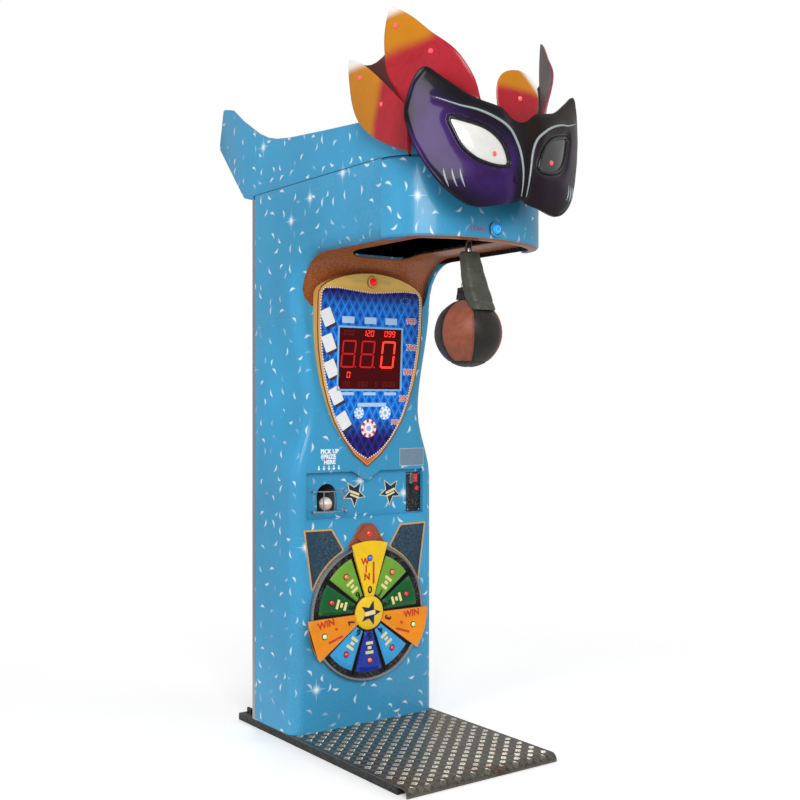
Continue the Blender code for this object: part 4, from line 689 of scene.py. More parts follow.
class PUNCH_OT_platform(bpy.types.Operator):
    """Tread plate with raised bars, rails, trims and wheels"""
    bl_idname = "punch.platform"
    bl_label = "Platform"

    def execute(self, context):
        steel = self.metal("tread_steel", "67635a", "54392f", 0.30, "8d8a80")
        bars = self.metal("tread_bars", "98958a", "7a5b4d", 0.26, "bdbab0")
        black = surface("black_frame", "17181a", 0.42, 0.0, size=0.0016, relief=0.3, shade=0.3, scuffs=0.5,
                        wear=0.6, dust=0.35, bare="4a4a4b")
        dress(["tread_plate"], steel)
        dress(["left_rail", "right_rail", "base_frame"], black)
        dress(["left_trim", "right_trim"], surface("trim_aluminium", "b7bcc0", 0.28, 0.95, "brushed", 0.002,
                                                   0.2, 0.2, 0.2, 0.2, 0.1, rates={"z_rate": 0.02}))
        self.bars(bars)
        self.wheels()
        return {"FINISHED"}

    def metal(self, name, code, stain, roughness, bare):
        """Worn tread metal with rusty stains towards the front."""
        def paint(w):
            y = w.split(w.place())["Y"]
            spots = w.fade(w.noise(w.place(), 7.0, 4.0, 0.6), 0.48, 0.70)
            front = w.fade(y, -0.30, -0.52, 0.25, 0.9)
            return w.mix(w.times(spots, front), code, stain)
        return surface(name, code, roughness, 0.85, size=0.0014, relief=0.2, shade=0.3, scuffs=0.7, wear=0.4,
                       dust=0.1, bare=bare, paint=paint)

    def bars(self, look):
        """Groups of five parallel bars, each group turned across its neighbours."""
        cell, high = sizes().tread_cell, sizes().tread_height
        low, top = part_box("tread_plate")
        self.bend = low.y + 0.024
        left, right, front = low.x + 0.006, top.x - 0.006, self.bend - 0.030
        columns = int((right - left) / cell)
        rows = int((FRONT - 0.002 - front) / cell) + 1
        points, faces = [], []
        start = -columns * cell / 2
        for i in range(columns):
            for j in range(rows):
                middle = Vector((start + (i + 0.5) * cell, front + (j + 0.5) * cell))
                turn = math.radians(45 if (i + j) % 2 else -45)
                for k in range(5):
                    self.bar(points, faces, middle, turn, (k - 2) * cell * 0.175, cell, high, top.z, k)
        mesh = bpy.data.meshes.new("tread_bars")
        mesh.from_pydata(points, [], faces)
        mesh.materials.append(look)
        piece = linked("tread_bars", mesh)
        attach(piece, "machine")

    def bar(self, points, faces, middle, turn, off, cell, high, top, k):
        """One pointed bar with a ridge along it."""
        half = cell * (0.47 - 0.035 * abs(k - 2))
        wide = cell * 0.055
        along, side = Vector((math.cos(turn), math.sin(turn))), Vector((-math.sin(turn), math.cos(turn)))
        ends = ((-half, 0), (-half * 0.6, -wide), (half * 0.6, -wide), (half, 0), (half * 0.6, wide),
                (-half * 0.6, wide))
        first = len(points)
        for a, b in ends:
            spot = middle + along * a + side * (b + off)
            points.append(self.over_nosing(spot, top, -0.0004))
        for a in (-half * 0.6, half * 0.6):
            for b in (-wide * 0.45, wide * 0.45):
                spot = middle + along * a + side * (b + off)
                points.append(self.over_nosing(spot, top, high))
        n = [first + i for i in range(10)]
        faces.extend([(n[0], n[1], n[6]), (n[0], n[6], n[7]), (n[0], n[7], n[5]), (n[1], n[2], n[8], n[6]),
                      (n[2], n[3], n[8]), (n[3], n[9], n[8]), (n[3], n[4], n[9]), (n[5], n[7], n[9], n[4]),
                      (n[6], n[8], n[9], n[7]), (n[5], n[4], n[3], n[2], n[1], n[0])])

    def over_nosing(self, spot, top, high):
        """A place on the plate, which turns down over its rounded front edge."""
        turn = max(self.bend - spot.y, 0.0) / 0.024
        flat = max(spot.y, self.bend)
        out = 0.024 + high
        return (spot.x, flat - out * math.sin(turn), top - 0.024 + out * math.cos(turn))

    def wheels(self):
        """Rubber tyres on grey hubs."""
        for name in ("left_wheel", "right_wheel"):
            low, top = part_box(name)
            centre = (low + top) / 2

            def paint(w, centre=centre):
                hub = beyond(w, w.place(), centre, 0.0165, 0.0172, flat=0)
                return w.mix(hub, "232325", "8b8f92")
            dress([name], surface(name + "_finish", "232325", 0.55, size=0.0012, relief=0.3, shade=0.3,
                                  scuffs=0.5, wear=0.3, dust=0.4, paint=paint))


class PUNCH_OT_back(bpy.types.Operator):
    """Rear panel, service door, lock and power inlet"""
    bl_idname = "punch.back"
    bl_label = "Back"

    def execute(self, context):
        paint = surface("back_paint", "55585b", 0.42, size=0.0014, relief=0.35, shade=0.12, scuffs=0.4,
                        wear=0.7, dust=0.2, bare="8f9294")
        steel = surface("lock_steel", "b6b9bb", 0.25, 0.95, "brushed", 0.0014, 0.2, 0.2, 0.4, 0.3)
        black = surface("inlet_plastic", "141416", 0.4, size=0.0009, relief=0.25, shade=0.15)
        dress(["rear_panel", "back_door"], paint)
        dress(["door_lock", "hinge_pin"], steel)
        dress(["power_inlet"], black)
        low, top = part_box("rear_panel")
        sides = (low.x + 0.016, top.x - 0.016)
        self.screws("panel_screws", [(x, z) for x in sides for z in (0.30, 0.70, 1.10, 1.45)], BACK_FACE, steel)
        self.louvres(paint)
        return {"FINISHED"}

    def screws(self, name, places, y, look):
        """Button heads with a cross slot."""
        bm = bmesh.new()
        for x, z in places:
            lathe(bm, [(0.0, 0.0), (0.0042, 0.0), (0.0042, 0.0006), (0.0034, 0.0018), (0.0014, 0.0023),
                       (0.0, 0.0023)], (x, y, z), "Y", 16)
            for turn in (0.4, 0.4 + math.pi / 2):
                place = lambda a, b, t: Vector((a, y + t, b))
                raised(bm, turned_box(x, z, 0.0046, 0.0009, turn), place, 0.0021, 0.0026, 0.0001, 1)
        dark = surface("screw_slot", "1b1b1c", 0.5, size=0.0006)
        finish_piece(name, bm, [look, dark])

    def louvres(self, look):
        """Two rows of pressed vents in the door."""
        bm = bmesh.new()
        for z0 in (0.56, 1.20):
            for k in range(6):
                z = z0 + 0.018 * k
                rings = []
                for x, s in ((-0.075, 0.25), (-0.068, 1.0), (0.068, 1.0), (0.075, 0.25)):
                    rings.append([Vector((x, 0.4178, z)), Vector((x, 0.4178, z + 0.010)),
                                  Vector((x, 0.4180 + 0.0010 * s, z + 0.0098)),
                                  Vector((x, 0.4180 + 0.0042 * s, z + 0.0030)),
                                  Vector((x, 0.4180 + 0.0042 * s, z + 0.0008))])
                bridge(bm, rings)
        finish_piece("door_louvres", bm, [look], body="door")


class PUNCH_OT_inside(bpy.types.Operator):
    """Mast, swing gear, coin gear and electronics inside the cabinet"""
    bl_idname = "punch.inside"
    bl_label = "Inside"

    def execute(self, context):
        paint = surface("inner_paint", "6f7376", 0.42, size=0.0014, relief=0.3, shade=0.15, scuffs=0.4,
                        wear=0.6, bare="a5a8aa")
        steel = surface("machined_steel", "a6a9ab", 0.28, 0.95, "brushed", 0.0014, 0.2, 0.25, 0.4, 0.3)
        black = surface("moulded_black", "161618", 0.42, size=0.0009, relief=0.25, shade=0.2)
        rubber = surface("buffer_rubber", "1b1b1b", 0.75, size=0.0012, relief=0.4, shade=0.2)
        cream = surface("cream_moulding", "d8d0bd", 0.45, size=0.0010, relief=0.2, shade=0.1)
        green = surface("board_green", "165c35", 0.35, size=0.0020, relief=0.5, shade=0.5, coat=0.3)
        zinc = surface("zinc_case", "9c9372", 0.35, 0.7, "brushed", 0.0016, 0.2, 0.25, 0.3, 0.3)
        dress(["mast", "arm_beam", "pivot_bracket", "prize_chute", "cash_box", "power_supply"], paint)
        dress(["left_bearing", "right_bearing", "pivot_shaft", "latch_disc", "latch_bolt"], steel)
        dress(["speed_sensor", "led_module", "coin_mech"], black)
        dress(["bag_stop"], rubber)
        dress(["dispenser_wheel"], cream)
        dress(["control_board"], green)
        dress(["latch_solenoid"], zinc)
        return {"FINISHED"}


# ------------------------------------------------------------------ stage

class PUNCH_OT_stage(bpy.types.Operator):
    """Pale floor, soft lamps and the camera"""
    bl_idname = "punch.stage"
    bl_label = "Stage"

    def execute(self, context):
        self.camera(context.scene)
        self.floor()
        self.world(context.scene)
        self.lamp("key", (-2.6, -4.2, 3.4), (0, 0, 1.1), 165, 2.6)
        self.lamp("side", (-4.6, -0.6, 2.0), (0, 0, 1.2), 70, 2.2, False)
        self.lamp("fill", (3.6, -3.4, 2.2), (0, 0, 1.2), 70, 2.4, False)
        self.lamp("rim", (1.6, 3.8, 3.6), (0, 0, 1.5), 60, 2.0, False)
        context.scene.view_settings.view_transform = "Standard"
        return {"FINISHED"}

    def camera(self, scene):
        data = bpy.data.cameras.new("camera")
        data.sensor_width = 36
        data.lens = 51.33
        data.clip_end = 60
        camera = linked("camera", data)
        camera.location = (-2.3453, -3.3116, 1.2063)
        camera.rotation_euler = (math.radians(90), 0, math.radians(-35.91))
        scene.camera = camera

    def lamp(self, name, spot, aim, power, size, mirrored=True):
        data = bpy.data.lights.new(name, "AREA")
        data.energy = power
        data.size = size
        lamp = linked(name, data)
        lamp.location = spot
        lamp.visible_glossy = mirrored
        lamp.rotation_euler = (Vector(aim) - Vector(spot)).to_track_quat("-Z", "Y").to_euler()

    def seen(self, w):
        """1 where the background shows directly, in a reflection or through glass."""
        path = w.make("ShaderNodeLightPath").outputs
        both = w.most(path["Is Camera Ray"], path["Is Glossy Ray"])
        return w.most(both, path["Is Transmission Ray"])

    def floor(self):
        bm = bmesh.new()
        steps = 96
        rings = [[Vector((x, y, 0.0)) for x, y in circle(0, 0, r, steps)]
                 for r in (4.0, 2.4, 1.2, 0.4, 0.002)]
        bridge(bm, rings, caps=False)
        mesh = bpy.data.meshes.new("floor")
        bm.to_mesh(mesh)
        bm.free()
        floor = linked("floor", mesh)
        made, w, shader = blank("floor_pale")
        shader.inputs["Base Color"].default_value = (0.90, 0.90, 0.90, 1)
        shader.inputs["Roughness"].default_value = 0.7
        shader.inputs["Emission Color"].default_value = (1, 1, 1, 1)
        w.put(w.times(w.make("ShaderNodeLightPath").outputs["Is Camera Ray"], 0.25),
              shader.inputs["Emission Strength"])
        clear = w.make("ShaderNodeBsdfTransparent")
        blend = w.make("ShaderNodeMixShader")
        w.put(beyond(w, w.place(), (0, 0, 0), 0.9, 2.6), blend.inputs[0])
        w.put(clear.outputs[0], blend.inputs[1])
        w.put(shader.outputs[0], blend.inputs[2])
        w.put(blend.outputs[0], made.node_tree.nodes["Material Output"].inputs["Surface"])
        mesh.materials.append(made)
        floor.location.z = -0.0006

    def world(self, scene):
        world = bpy.data.worlds.new("studio")
        world.use_nodes = True
        scene.world = world
        w = Wiring(world.node_tree)
        background = world.node_tree.nodes["Background"]
        background.inputs["Color"].default_value = (1, 1, 1, 1)
        path = w.make("ShaderNodeLightPath").outputs
        dim = w.times(path["Is Glossy Ray"], -0.55)
        level = w.plus(w.fade(self.seen(w), 0.0, 1.0, 0.42, 1.0), dim)
        w.put(level, background.inputs["Strength"])


# ------------------------------------------------------------------ display shield

SHIELD_SIDE = [(0, .963), (.060, 1.008), (.112, 1.070), (.150, 1.130), (.178, 1.197), (.199, 1.262),
               (.214, 1.330), (.224, 1.395), (.229, 1.460), (.230, 1.556), (.228, 1.586), (.218, 1.606),
               (.194, 1.624), (.163, 1.638), (.124, 1.651), (.080, 1.660), (.040, 1.665), (0, 1.667)]
FIELD_SIDE = [(0, .992), (.040, 1.012), (.070, 1.036), (.097, 1.066), (.122, 1.102), (.147, 1.148),
              (.168, 1.203), (.185, 1.266), (.200, 1.333), (.209, 1.397), (.215, 1.461), (.217, 1.550),
              (.213, 1.590), (.200, 1.603), (.150, 1.606), (.100, 1.602), (.050, 1.597), (0, 1.594)]
SCALE = [("900", .179, 1.497), ("700", .182, 1.400), ("500", .172, 1.309), ("300", .155, 1.211),
         ("100", .116, 1.124)]
CARDS = [(-.183, 1.500, .44), (-.175, 1.409, .40), (-.163, 1.318, .43), (-.139, 1.223, .46),
         (-.104, 1.132, .55)]


def both_sides(half):
    """A closed anticlockwise outline from its right half, bottom to top."""
    return list(half) + [(-x, z) for x, z in reversed(half[1:-1])]


def evenly(outline, pitch):
    """Points at an even spacing along a closed outline."""
    loop = [Vector(p) for p in outline] + [Vector(outline[0])]
    total = sum((b - a).length for a, b in zip(loop, loop[1:]))
    step = total / round(total / pitch)
    spots, ahead = [], 0.0
    for a, b in zip(loop, loop[1:]):
        length = (b - a).length
        while ahead < length:
            spots.append(a.lerp(b, ahead / length))
            ahead += step
        ahead -= length
    return spots


def framed(bm, outer, hole, place, low, high, look=0):
    """A thin plate with one hole."""
    edges = []
    for loop in (outer, hole):
        verts = [bm.verts.new(place(a, b, high)) for a, b in loop]
        edges.extend(bm.edges.new((verts[i], verts[(i + 1) % len(verts)])) for i in range(len(verts)))
    made = bmesh.ops.triangle_fill(bm, use_beauty=True, edges=edges)["geom"]
    faces = [g for g in made if isinstance(g, bmesh.types.BMFace)]
    for face in faces:
        face.material_index = look
    pushed = bmesh.ops.extrude_face_region(bm, geom=faces)["geom"]
    back = place(0, 1.3, low) - place(0, 1.3, high)
    for g in pushed:
        if isinstance(g, bmesh.types.BMVert):
            g.co += back
        if isinstance(g, bmesh.types.BMFace):
            g.material_index = look


def rounded(x, z, wide, high, corner=0.004, steps=4):
    """A rectangle with rounded corners, anticlockwise."""
    outline = []
    for k, (sx, sz) in enumerate(((1, 1), (-1, 1), (-1, -1), (1, -1))):
        for i in range(steps + 1):
            angle = math.pi / 2 * (k + i / steps)
            outline.append((x + sx * (wide / 2 - corner) + corner * math.cos(angle),
                            z + sz * (high / 2 - corner) + corner * math.sin(angle)))
    return outline


def plain(name, code, roughness=0.35, **more):
    """A moulded or printed finish from a display colour."""
    settings = {"size": 0.0009, "relief": 0.12, "shade": 0.08, "scuffs": 0.2, "wear": 0.2, "dust": 0.05,
                **more}
    return surface(name, code, roughness, **settings)


def field_finish():
    """Blue field with a raised-looking lattice that darkens to navy round its edge."""
    look = colours()

    def paint(w):
        x, _, z = w.split(w.place())
        u, v = w.over(x, 0.0330), w.over(z, 0.0560)
        one = w.math("PINGPONG", w.plus(u, v), 0.5)
        two = w.math("PINGPONG", w.minus(u, v), 0.5)
        near = w.least(one, two)
        line = w.drop(near, 0.05, 0.11)
        heart = w.fade(w.times(one, two), 0.10, 0.20)
        side = w.fade(w.size(x), 0.13, 0.23)
        rim = w.most(w.drop(z, 1.06, 1.17), w.fade(z, 1.53, 1.60))
        rim = w.most(rim, w.times(side, 0.55))
        base = w.mix(rim, tuple(look.field), "1a1458")
        pale = w.mix(rim, "2a93f0", "2c2590")
        deep = w.mix(rim, "0c3a9c", "0f0a36")
        return w.mix(line, w.mix(heart, base, deep), pale)
    return surface("shield_field", tuple(look.field), 0.30, size=0.002, relief=0.08, shade=0.12, scuffs=0.15,
                   wear=0.0, coat=0.1, gloss=0.18, paint=paint)


def gold_finish():
    """Gold border that turns orange towards the shield's tip."""
    gold = tuple(colours().gold)

    def paint(w):
        x, _, z = w.split(w.place())
        tip = w.drop(z, 0.97, 1.12)
        crown = w.fade(z, 1.59, 1.63)
        side = w.fade(w.size(x), 0.19, 0.232)
        base = w.mix(crown, gold, "ecc463")
        base = w.mix(w.times(side, 0.6), base, "c98f4a")
        return w.mix(tip, base, "c0622a")
    return surface("shield_gold", gold, 0.30, size=0.002, relief=0.08, shade=0.12, scuffs=0.1, wear=0.1,
                   coat=0.15, paint=paint)


class PUNCH_OT_shield(bpy.types.Operator):
    """Display shield: border, blue field, scale, cards and counters"""
    bl_idname = "punch.shield"
    bl_label = "Shield"

    def execute(self, context):
        dress(["display_shield"], gold_finish())
        self.borders()
        self.field()
        self.scale()
        self.cards()
        self.counters()
        self.patches()
        return {"FINISHED"}

    def borders(self):
        rim = plain("shield_rim", "6b3a1c", 0.3, coat=0.4)
        line = plain("shield_line", "f3d58a", 0.3)
        outline = both_sides(SHIELD_SIDE)
        bm = bmesh.new()
        tube(bm, [on_shield(a, b, -0.0006) for a, b in inset(outline, 0.0012)], 0.0022, closed=True)
        tube(bm, [on_shield(a, b, 0.0000) for a, b in inset(outline, 0.0055)], 0.0007, 1, closed=True,
             steps=6)
        finish_piece("shield_rim", bm, [rim, line], 60)

    def field(self):
        wide, low, high = WINDOW
        outline = both_sides(FIELD_SIDE)
        middle = (low + high) / 2
        bm = bmesh.new()
        framed(bm, outline, rounded(0, middle, 2 * wide + 0.010, high - low + 0.010, 0.003), on_shield,
               -0.0002, 0.0006)
        finish_piece("shield_field", bm, [field_finish()])
        bm = bmesh.new()
        framed(bm, rounded(0, middle, 2 * wide + 0.012, high - low + 0.012, 0.004),
               rounded(0, middle, 2 * wide - 0.001, high - low - 0.001, 0.002), on_shield, -0.0002, 0.0016)
        finish_piece("window_frame", bm, [plain("frame_blue", "6fb9ee", 0.3, coat=0.4)])
        bm = bmesh.new()
        for spot in evenly(outline, 0.0100):
            dome(bm, on_shield(spot.x, spot.y, 0.0004), (0, -1, -0.048), sizes().dot_radius, 0.0009,
                 sides=8, rows=2)
        finish_piece("field_dots", bm, [plain("dot_white", "e8ecf4", 0.3)])

    def scale(self):
        red, white = plain("figure_red", "c8202c"), plain("figure_white", "f2eee6")
        for words, x, z in SCALE:
            size = 0.030 if x > 0.15 else 0.024
            lettering("scale_" + words + "_back", words, size, on_shield, (x, z), (0.0004, 0.0008), white,
                      grow=0.0019)
            lettering("scale_" + words, words, size, on_shield, (x, z), (0.0006, 0.0012), red,
                      grow=0.0004)

    def cards(self):
        white, shadow = plain("card_white", "e6e7e9"), plain("card_shadow", "141a3c")
        bm = bmesh.new()
        for x, z, turn in CARDS:
            raised(bm, turned_box(x + 0.003, z - 0.009, 0.046, 0.060, turn, 0.003), on_shield, 0.0004,
                   0.0009, look=1)
            raised(bm, turned_box(x - 0.005, z, 0.046, 0.060, turn, 0.003), on_shield, 0.0007, 0.0016)
        finish_piece("shield_cards", bm, [white, shadow])

    def counters(self):
        """Two small counters and one large one, each with a ring of blocks."""
        white, red = plain("counter_white", "eef0f2"), plain("counter_red", "cf2230")
        blue = plain("counter_blue", "7fb6e6")
        bm = bmesh.new()
        for x, z, radius, look in ((-0.044, 1.159, 0.021, 2), (0.071, 1.159, 0.025, 2),
                                   (0.0, 1.103, 0.033, 1)):
            raised(bm, circle(x, z, radius, 32), on_shield, 0.0004, 0.0016)
            for k in range(8):
                a = 2 * math.pi * (k + 0.25) / 8
                block = turned_box(x + radius * 0.84 * math.cos(a), z + radius * 0.84 * math.sin(a),
                                   radius * 0.36, radius * 0.34, a)
                raised(bm, block, on_shield, 0.0012, 0.0020, look=look)
            tube(bm, [on_shield(*p, 0.0016) for p in circle(x, z, radius * 0.60, 32)], 0.0006, look, True, 6)
            raised(bm, circle(x, z, radius * 0.30, 24), on_shield, 0.0014, 0.0020, look=2)
        finish_piece("counters", bm, [white, red, blue])

    def patches(self):
        """Blank plates over and under the window."""
        pale = plain("patch_pale", "a9cdee", 0.35)
        cream = plain("patch_cream", "d9bc74", 0.35)
        bm = bmesh.new()
        for x in (-0.100, -0.004, 0.088):
            raised(bm, rounded(x, 1.494, 0.052, 0.024, 0.003), on_shield, 0.0004, 0.0012)
            raised(bm, rounded(x + 0.004, 1.229, 0.054, 0.011, 0.002), on_shield, 0.0004, 0.0012)
        raised(bm, rounded(0.012, 1.189, 0.126, 0.014, 0.003), on_shield, 0.0004, 0.0012)
        for x in (-0.062, 0.060):
            raised(bm, rounded(x, 1.633, 0.048, 0.012, 0.002), on_shield, -0.0002, 0.0006, look=1)
        for k in range(16):
            a = 2 * math.pi * k / 16
            dome(bm, on_shield(0.150 + 0.022 * math.cos(a), 1.572 + 0.0105 * math.sin(a), 0.0005),
                 (0, -1, 0), 0.0012, 0.0006, 0, 6, 2)
        finish_piece("shield_patches", bm, [pale, cream])


# ------------------------------------------------------------------ figures on the window

STROKES = {"0": "abcdef", "1": "bc", "2": "abged", "8": "abcdefg", "9": "abcdfg"}


def figure(bm, sign, x, z, wide, high, thick, low, top, lean=0.10, dot=False):
    """A seven-stroke figure that leans to the right."""
    a, b, t = wide / 2, high / 2, thick / 2
    across = [(-a + t * 1.3, 0), (-a + t * 2.1, t), (a - t * 2.1, t), (a - t * 1.3, 0), (a - t * 2.1, -t),
              (-a + t * 2.1, -t)]
    down = [(0, -b / 2 + t * 0.7), (t, -b / 2 + t * 1.5), (t, b / 2 - t * 1.5), (0, b / 2 - t * 0.7),
            (-t, b / 2 - t * 1.5), (-t, -b / 2 + t * 1.5)]
    spots = {"a": (across, 0, b - t), "g": (across, 0, 0), "d": (across, 0, -b + t),
             "b": (down, a - t, b / 2), "c": (down, a - t, -b / 2), "e": (down, -a + t, -b / 2),
             "f": (down, -a + t, b / 2)}
    for stroke in STROKES[sign]:
        shape, dx, dz = spots[stroke]
        turn = -1 if shape is across else 1
        outline = [(x + p + dx + lean * (q + dz), z + q + dz) for p, q in shape[::turn]]
        raised(bm, outline, on_shield, low, top, 0.0002)
    if dot:
        raised(bm, circle(x + a + thick * 0.9 - lean * b, z - b + t, t, 12), on_shield, low, top, 0.0002)


def button_finish(name, code, roughness, glow, strength):
    """A lit, clear-coated button cap."""
    return surface(name, code, roughness, size=0.002, relief=0.1, shade=0.3, scuffs=0.1, coat=0.8, glow=glow,
                   glow_strength=strength)


class PUNCH_OT_display(bpy.types.Operator):
    """Dark red window with lit and resting figures"""
    bl_idname = "punch.display"
    bl_label = "Display"

    def execute(self, context):
        # Painted light: the red window glass is given a faint glow of its own.
        glass = surface("window_red", "3c0407", 0.12, size=0.003, relief=0.03, shade=0.25, scuffs=0.0,
                        wear=0, dust=0, gloss=0.12, glow="4c0306", glow_strength=0.30)
        dress(["display_window"], glass)
        glows = (("lit", "ff3a24", "ff2a14", 1.6), ("resting", "a01014", "b00c12", 0.55),
                 ("faint", "5a080b", "66070a", 0.3))
        bright, dim, faint = (surface("figure_" + name, code, 0.4, size=0.0008, shade=0.05, scuffs=0, wear=0,
                                      dust=0, glow=glow, glow_strength=strength)
                              for name, code, glow, strength in glows)
        low, top = -0.0021, -0.0010
        bm = bmesh.new()
        figure(bm, "0", 0.079, 1.372, 0.060, 0.100, 0.0070, low, top)
        for sign, x in zip("120099", (-0.026, -0.009, 0.008, 0.068, 0.085, 0.102)):
            figure(bm, sign, x, 1.448, 0.013, 0.022, 0.0024, low, top)
        figure(bm, "0", -0.092, 1.297, 0.014, 0.022, 0.0024, low, top)
        finish_piece("figures_lit", bm, [bright])
        bm = bmesh.new()
        for x in (-0.094, -0.012):
            figure(bm, "8", x, 1.372, 0.060, 0.100, 0.0066, low, top, dot=True)
        finish_piece("figures_resting", bm, [dim])
        bm = bmesh.new()
        for x in (-0.108, -0.092, -0.046, -0.030, -0.014, 0.030, 0.062, 0.078, 0.094, 0.110):
            figure(bm, "8", x, 1.264, 0.012, 0.020, 0.0028, low, top)
        for x in (-0.110, -0.094, -0.078):
            figure(bm, "8", x, 1.448, 0.012, 0.020, 0.0028, low, top)
        finish_piece("figures_faint", bm, [faint])
        dress(["select_button"], button_finish("select_red", "e01420", 0.18, "ff1a1a", 0.35))
        black = plain("bezel_black", "17171a", 0.3, coat=0.4)
        bm = bmesh.new()
        centre = on_shield(0, SELECT_Z, 0)
        lathe(bm, [(0.0166, 0.0015), (0.0166, -0.0035), (0.0185, -0.0055), (0.0212, -0.0050),
                   (0.0225, -0.0030), (0.0225, 0.0015)], centre, "Y", 40)
        finish_piece("select_bezel", bm, [black])
        return {"FINISHED"}


# ------------------------------------------------------------------ console

class PUNCH_OT_console(bpy.types.Operator):
    """Prize hatch, stickers, coin plate and small arrows"""
    bl_idname = "punch.console"
    bl_label = "Console"

    def execute(self, context):
        self.hatch()
        self.stickers()
        self.coin_plate()
        return {"FINISHED"}

    def hatch(self):
        wire = surface("guard_wire", "c6c9cc", 0.18, 0.95, "brushed", 0.0014, 0.1, 0.15, 0.2, 0.2)
        shell = surface("capsule_shell", "e9e4d4", 0.25, size=0.002, relief=0.05, shade=0.08, coat=0.6,
                        paint=lambda w: w.mix(w.fade(w.split(w.place())["Z"], 0.8330, 0.8334), "d9a79a",
                                              "ece9dd"))
        dress(["wire_guard"], wire)
        dress(["prize_capsule"], shell)

    def stickers(self):
        navy, cream = plain("sticker_navy", "10224a", 0.3, coat=0.3), plain("sticker_cream", "e2d6a0", 0.35)
        place = on_front(CONSOLE)
        bm = bmesh.new()
        for x, turn in ((-0.041, -0.62), (0.119, -0.70)):
            raised(bm, star(x, 0.866, 0.052, 0.024, 5, turn), place, -0.0002, 0.0006, 0.0003, 1)
            raised(bm, star(x, 0.866, 0.046, 0.0205, 5, turn), place, 0.0003, 0.0011, 0.0003, 0)
            lean = 0.35 if x > 0 else -0.35
            for z, wide, high in ((0.868, 0.044, 0.009), (0.856, 0.040, 0.007)):
                raised(bm, turned_box(x, z, wide, high, lean, 0.001), place, 0.0008, 0.0015, 0.0002, 1)
        finish_piece("console_stars", bm, [navy, cream])
        plate = plain("plate_neutral", "6f8799", 0.4)
        pale = plain("plate_edge", "aebfca", 0.4)
        place = on_front(FRONT)
        bm = bmesh.new()
        raised(bm, rounded(0.204, 0.993, 0.112, 0.066, 0.003), place, -0.0002, 0.0005, 0.0002, 1)
        raised(bm, rounded(0.204, 0.993, 0.108, 0.062, 0.003), place, 0.0002, 0.0009, 0.0002, 0)
        finish_piece("price_plate", bm, [plate, pale])
        white = plain("arrow_white", "eef2f4", 0.4)
        bm = bmesh.new()
        for k in range(5):
            x = -0.205 + 0.021 * k
            arrow = [(x, 0.955), (x + 0.006, 0.963), (x + 0.002, 0.963), (x + 0.002, 0.972),
                     (x - 0.002, 0.972), (x - 0.002, 0.963), (x - 0.006, 0.963)]
            raised(bm, arrow, place, -0.0001, 0.0005, 0.0002)
        finish_piece("prize_arrows", bm, [white])
        for name, words, z in (("up", "PICK UP", 1.022), ("prize", "PRIZE", 1.003), ("here", "HERE", 0.984)):
            lettering("word_" + name, words, 0.021, place, (-0.160, z), (-0.0001, 0.0005), white,
                      grow=0.0009)

    def coin_plate(self):
        black = plain("coin_black", "161719", 0.35, scuffs=0.05, wear=0.2, dust=0.02, relief=0.04)
        steel = surface("coin_steel", "b4b7ba", 0.22, 0.95, "brushed", 0.0012, 0.1, 0.2, 0.3, 0.3)
        red = surface("coin_red", "c9101c", 0.2, size=0.001, relief=0.1, shade=0.2, coat=0.6,
                      glow="d81520", glow_strength=0.25)
        dress(["coin_plate", "coin_flap"], black)
        dress(["reject_button"], red)
        place = on_front(COIN_FACE)
        bm = bmesh.new()
        for x in (0.1985, 0.2505):
            for z in (0.7935, 0.9295):
                lathe(bm, [(0.0001, 0.0002), (0.0030, 0.0002), (0.0030, -0.0006), (0.0022, -0.0013),
                           (0.0001, -0.0015)], (x, COIN_FACE, z), "Y", 14, 0)
        framed(bm, rounded(0.21175, 0.912, 0.0125, 0.040, 0.003),
               rounded(0.21175, 0.912, 0.0040, 0.0290, 0.001), place, -0.0002, 0.0022, 0)
        raised(bm, rounded(0.2320, 0.912, 0.0180, 0.0300, 0.002), place, -0.0002, 0.0016, 0.0004, 1)
        raised(bm, turned_box(0.2320, 0.9115, 0.0130, 0.0035, 0.0), place, 0.0012, 0.0022, 0.0002, 0)
        finish_piece("coin_trim", bm, [steel, red])


# ------------------------------------------------------------------ prize dial

SECTORS = ["f2c512", "6fa336", "0f5a2b", "ef8f14", "3aa0dd", "1434a0", "3aa0dd", "ef8f14", "0f5a2b",
           "6fa336"]


def dial_place(radius, turn, height, base=DIAL_TOP):
    """A place on the dial, from a clockwise turn from its top."""
    return Vector((radius * math.sin(turn), base - height, DIAL_Z + radius * math.cos(turn)))


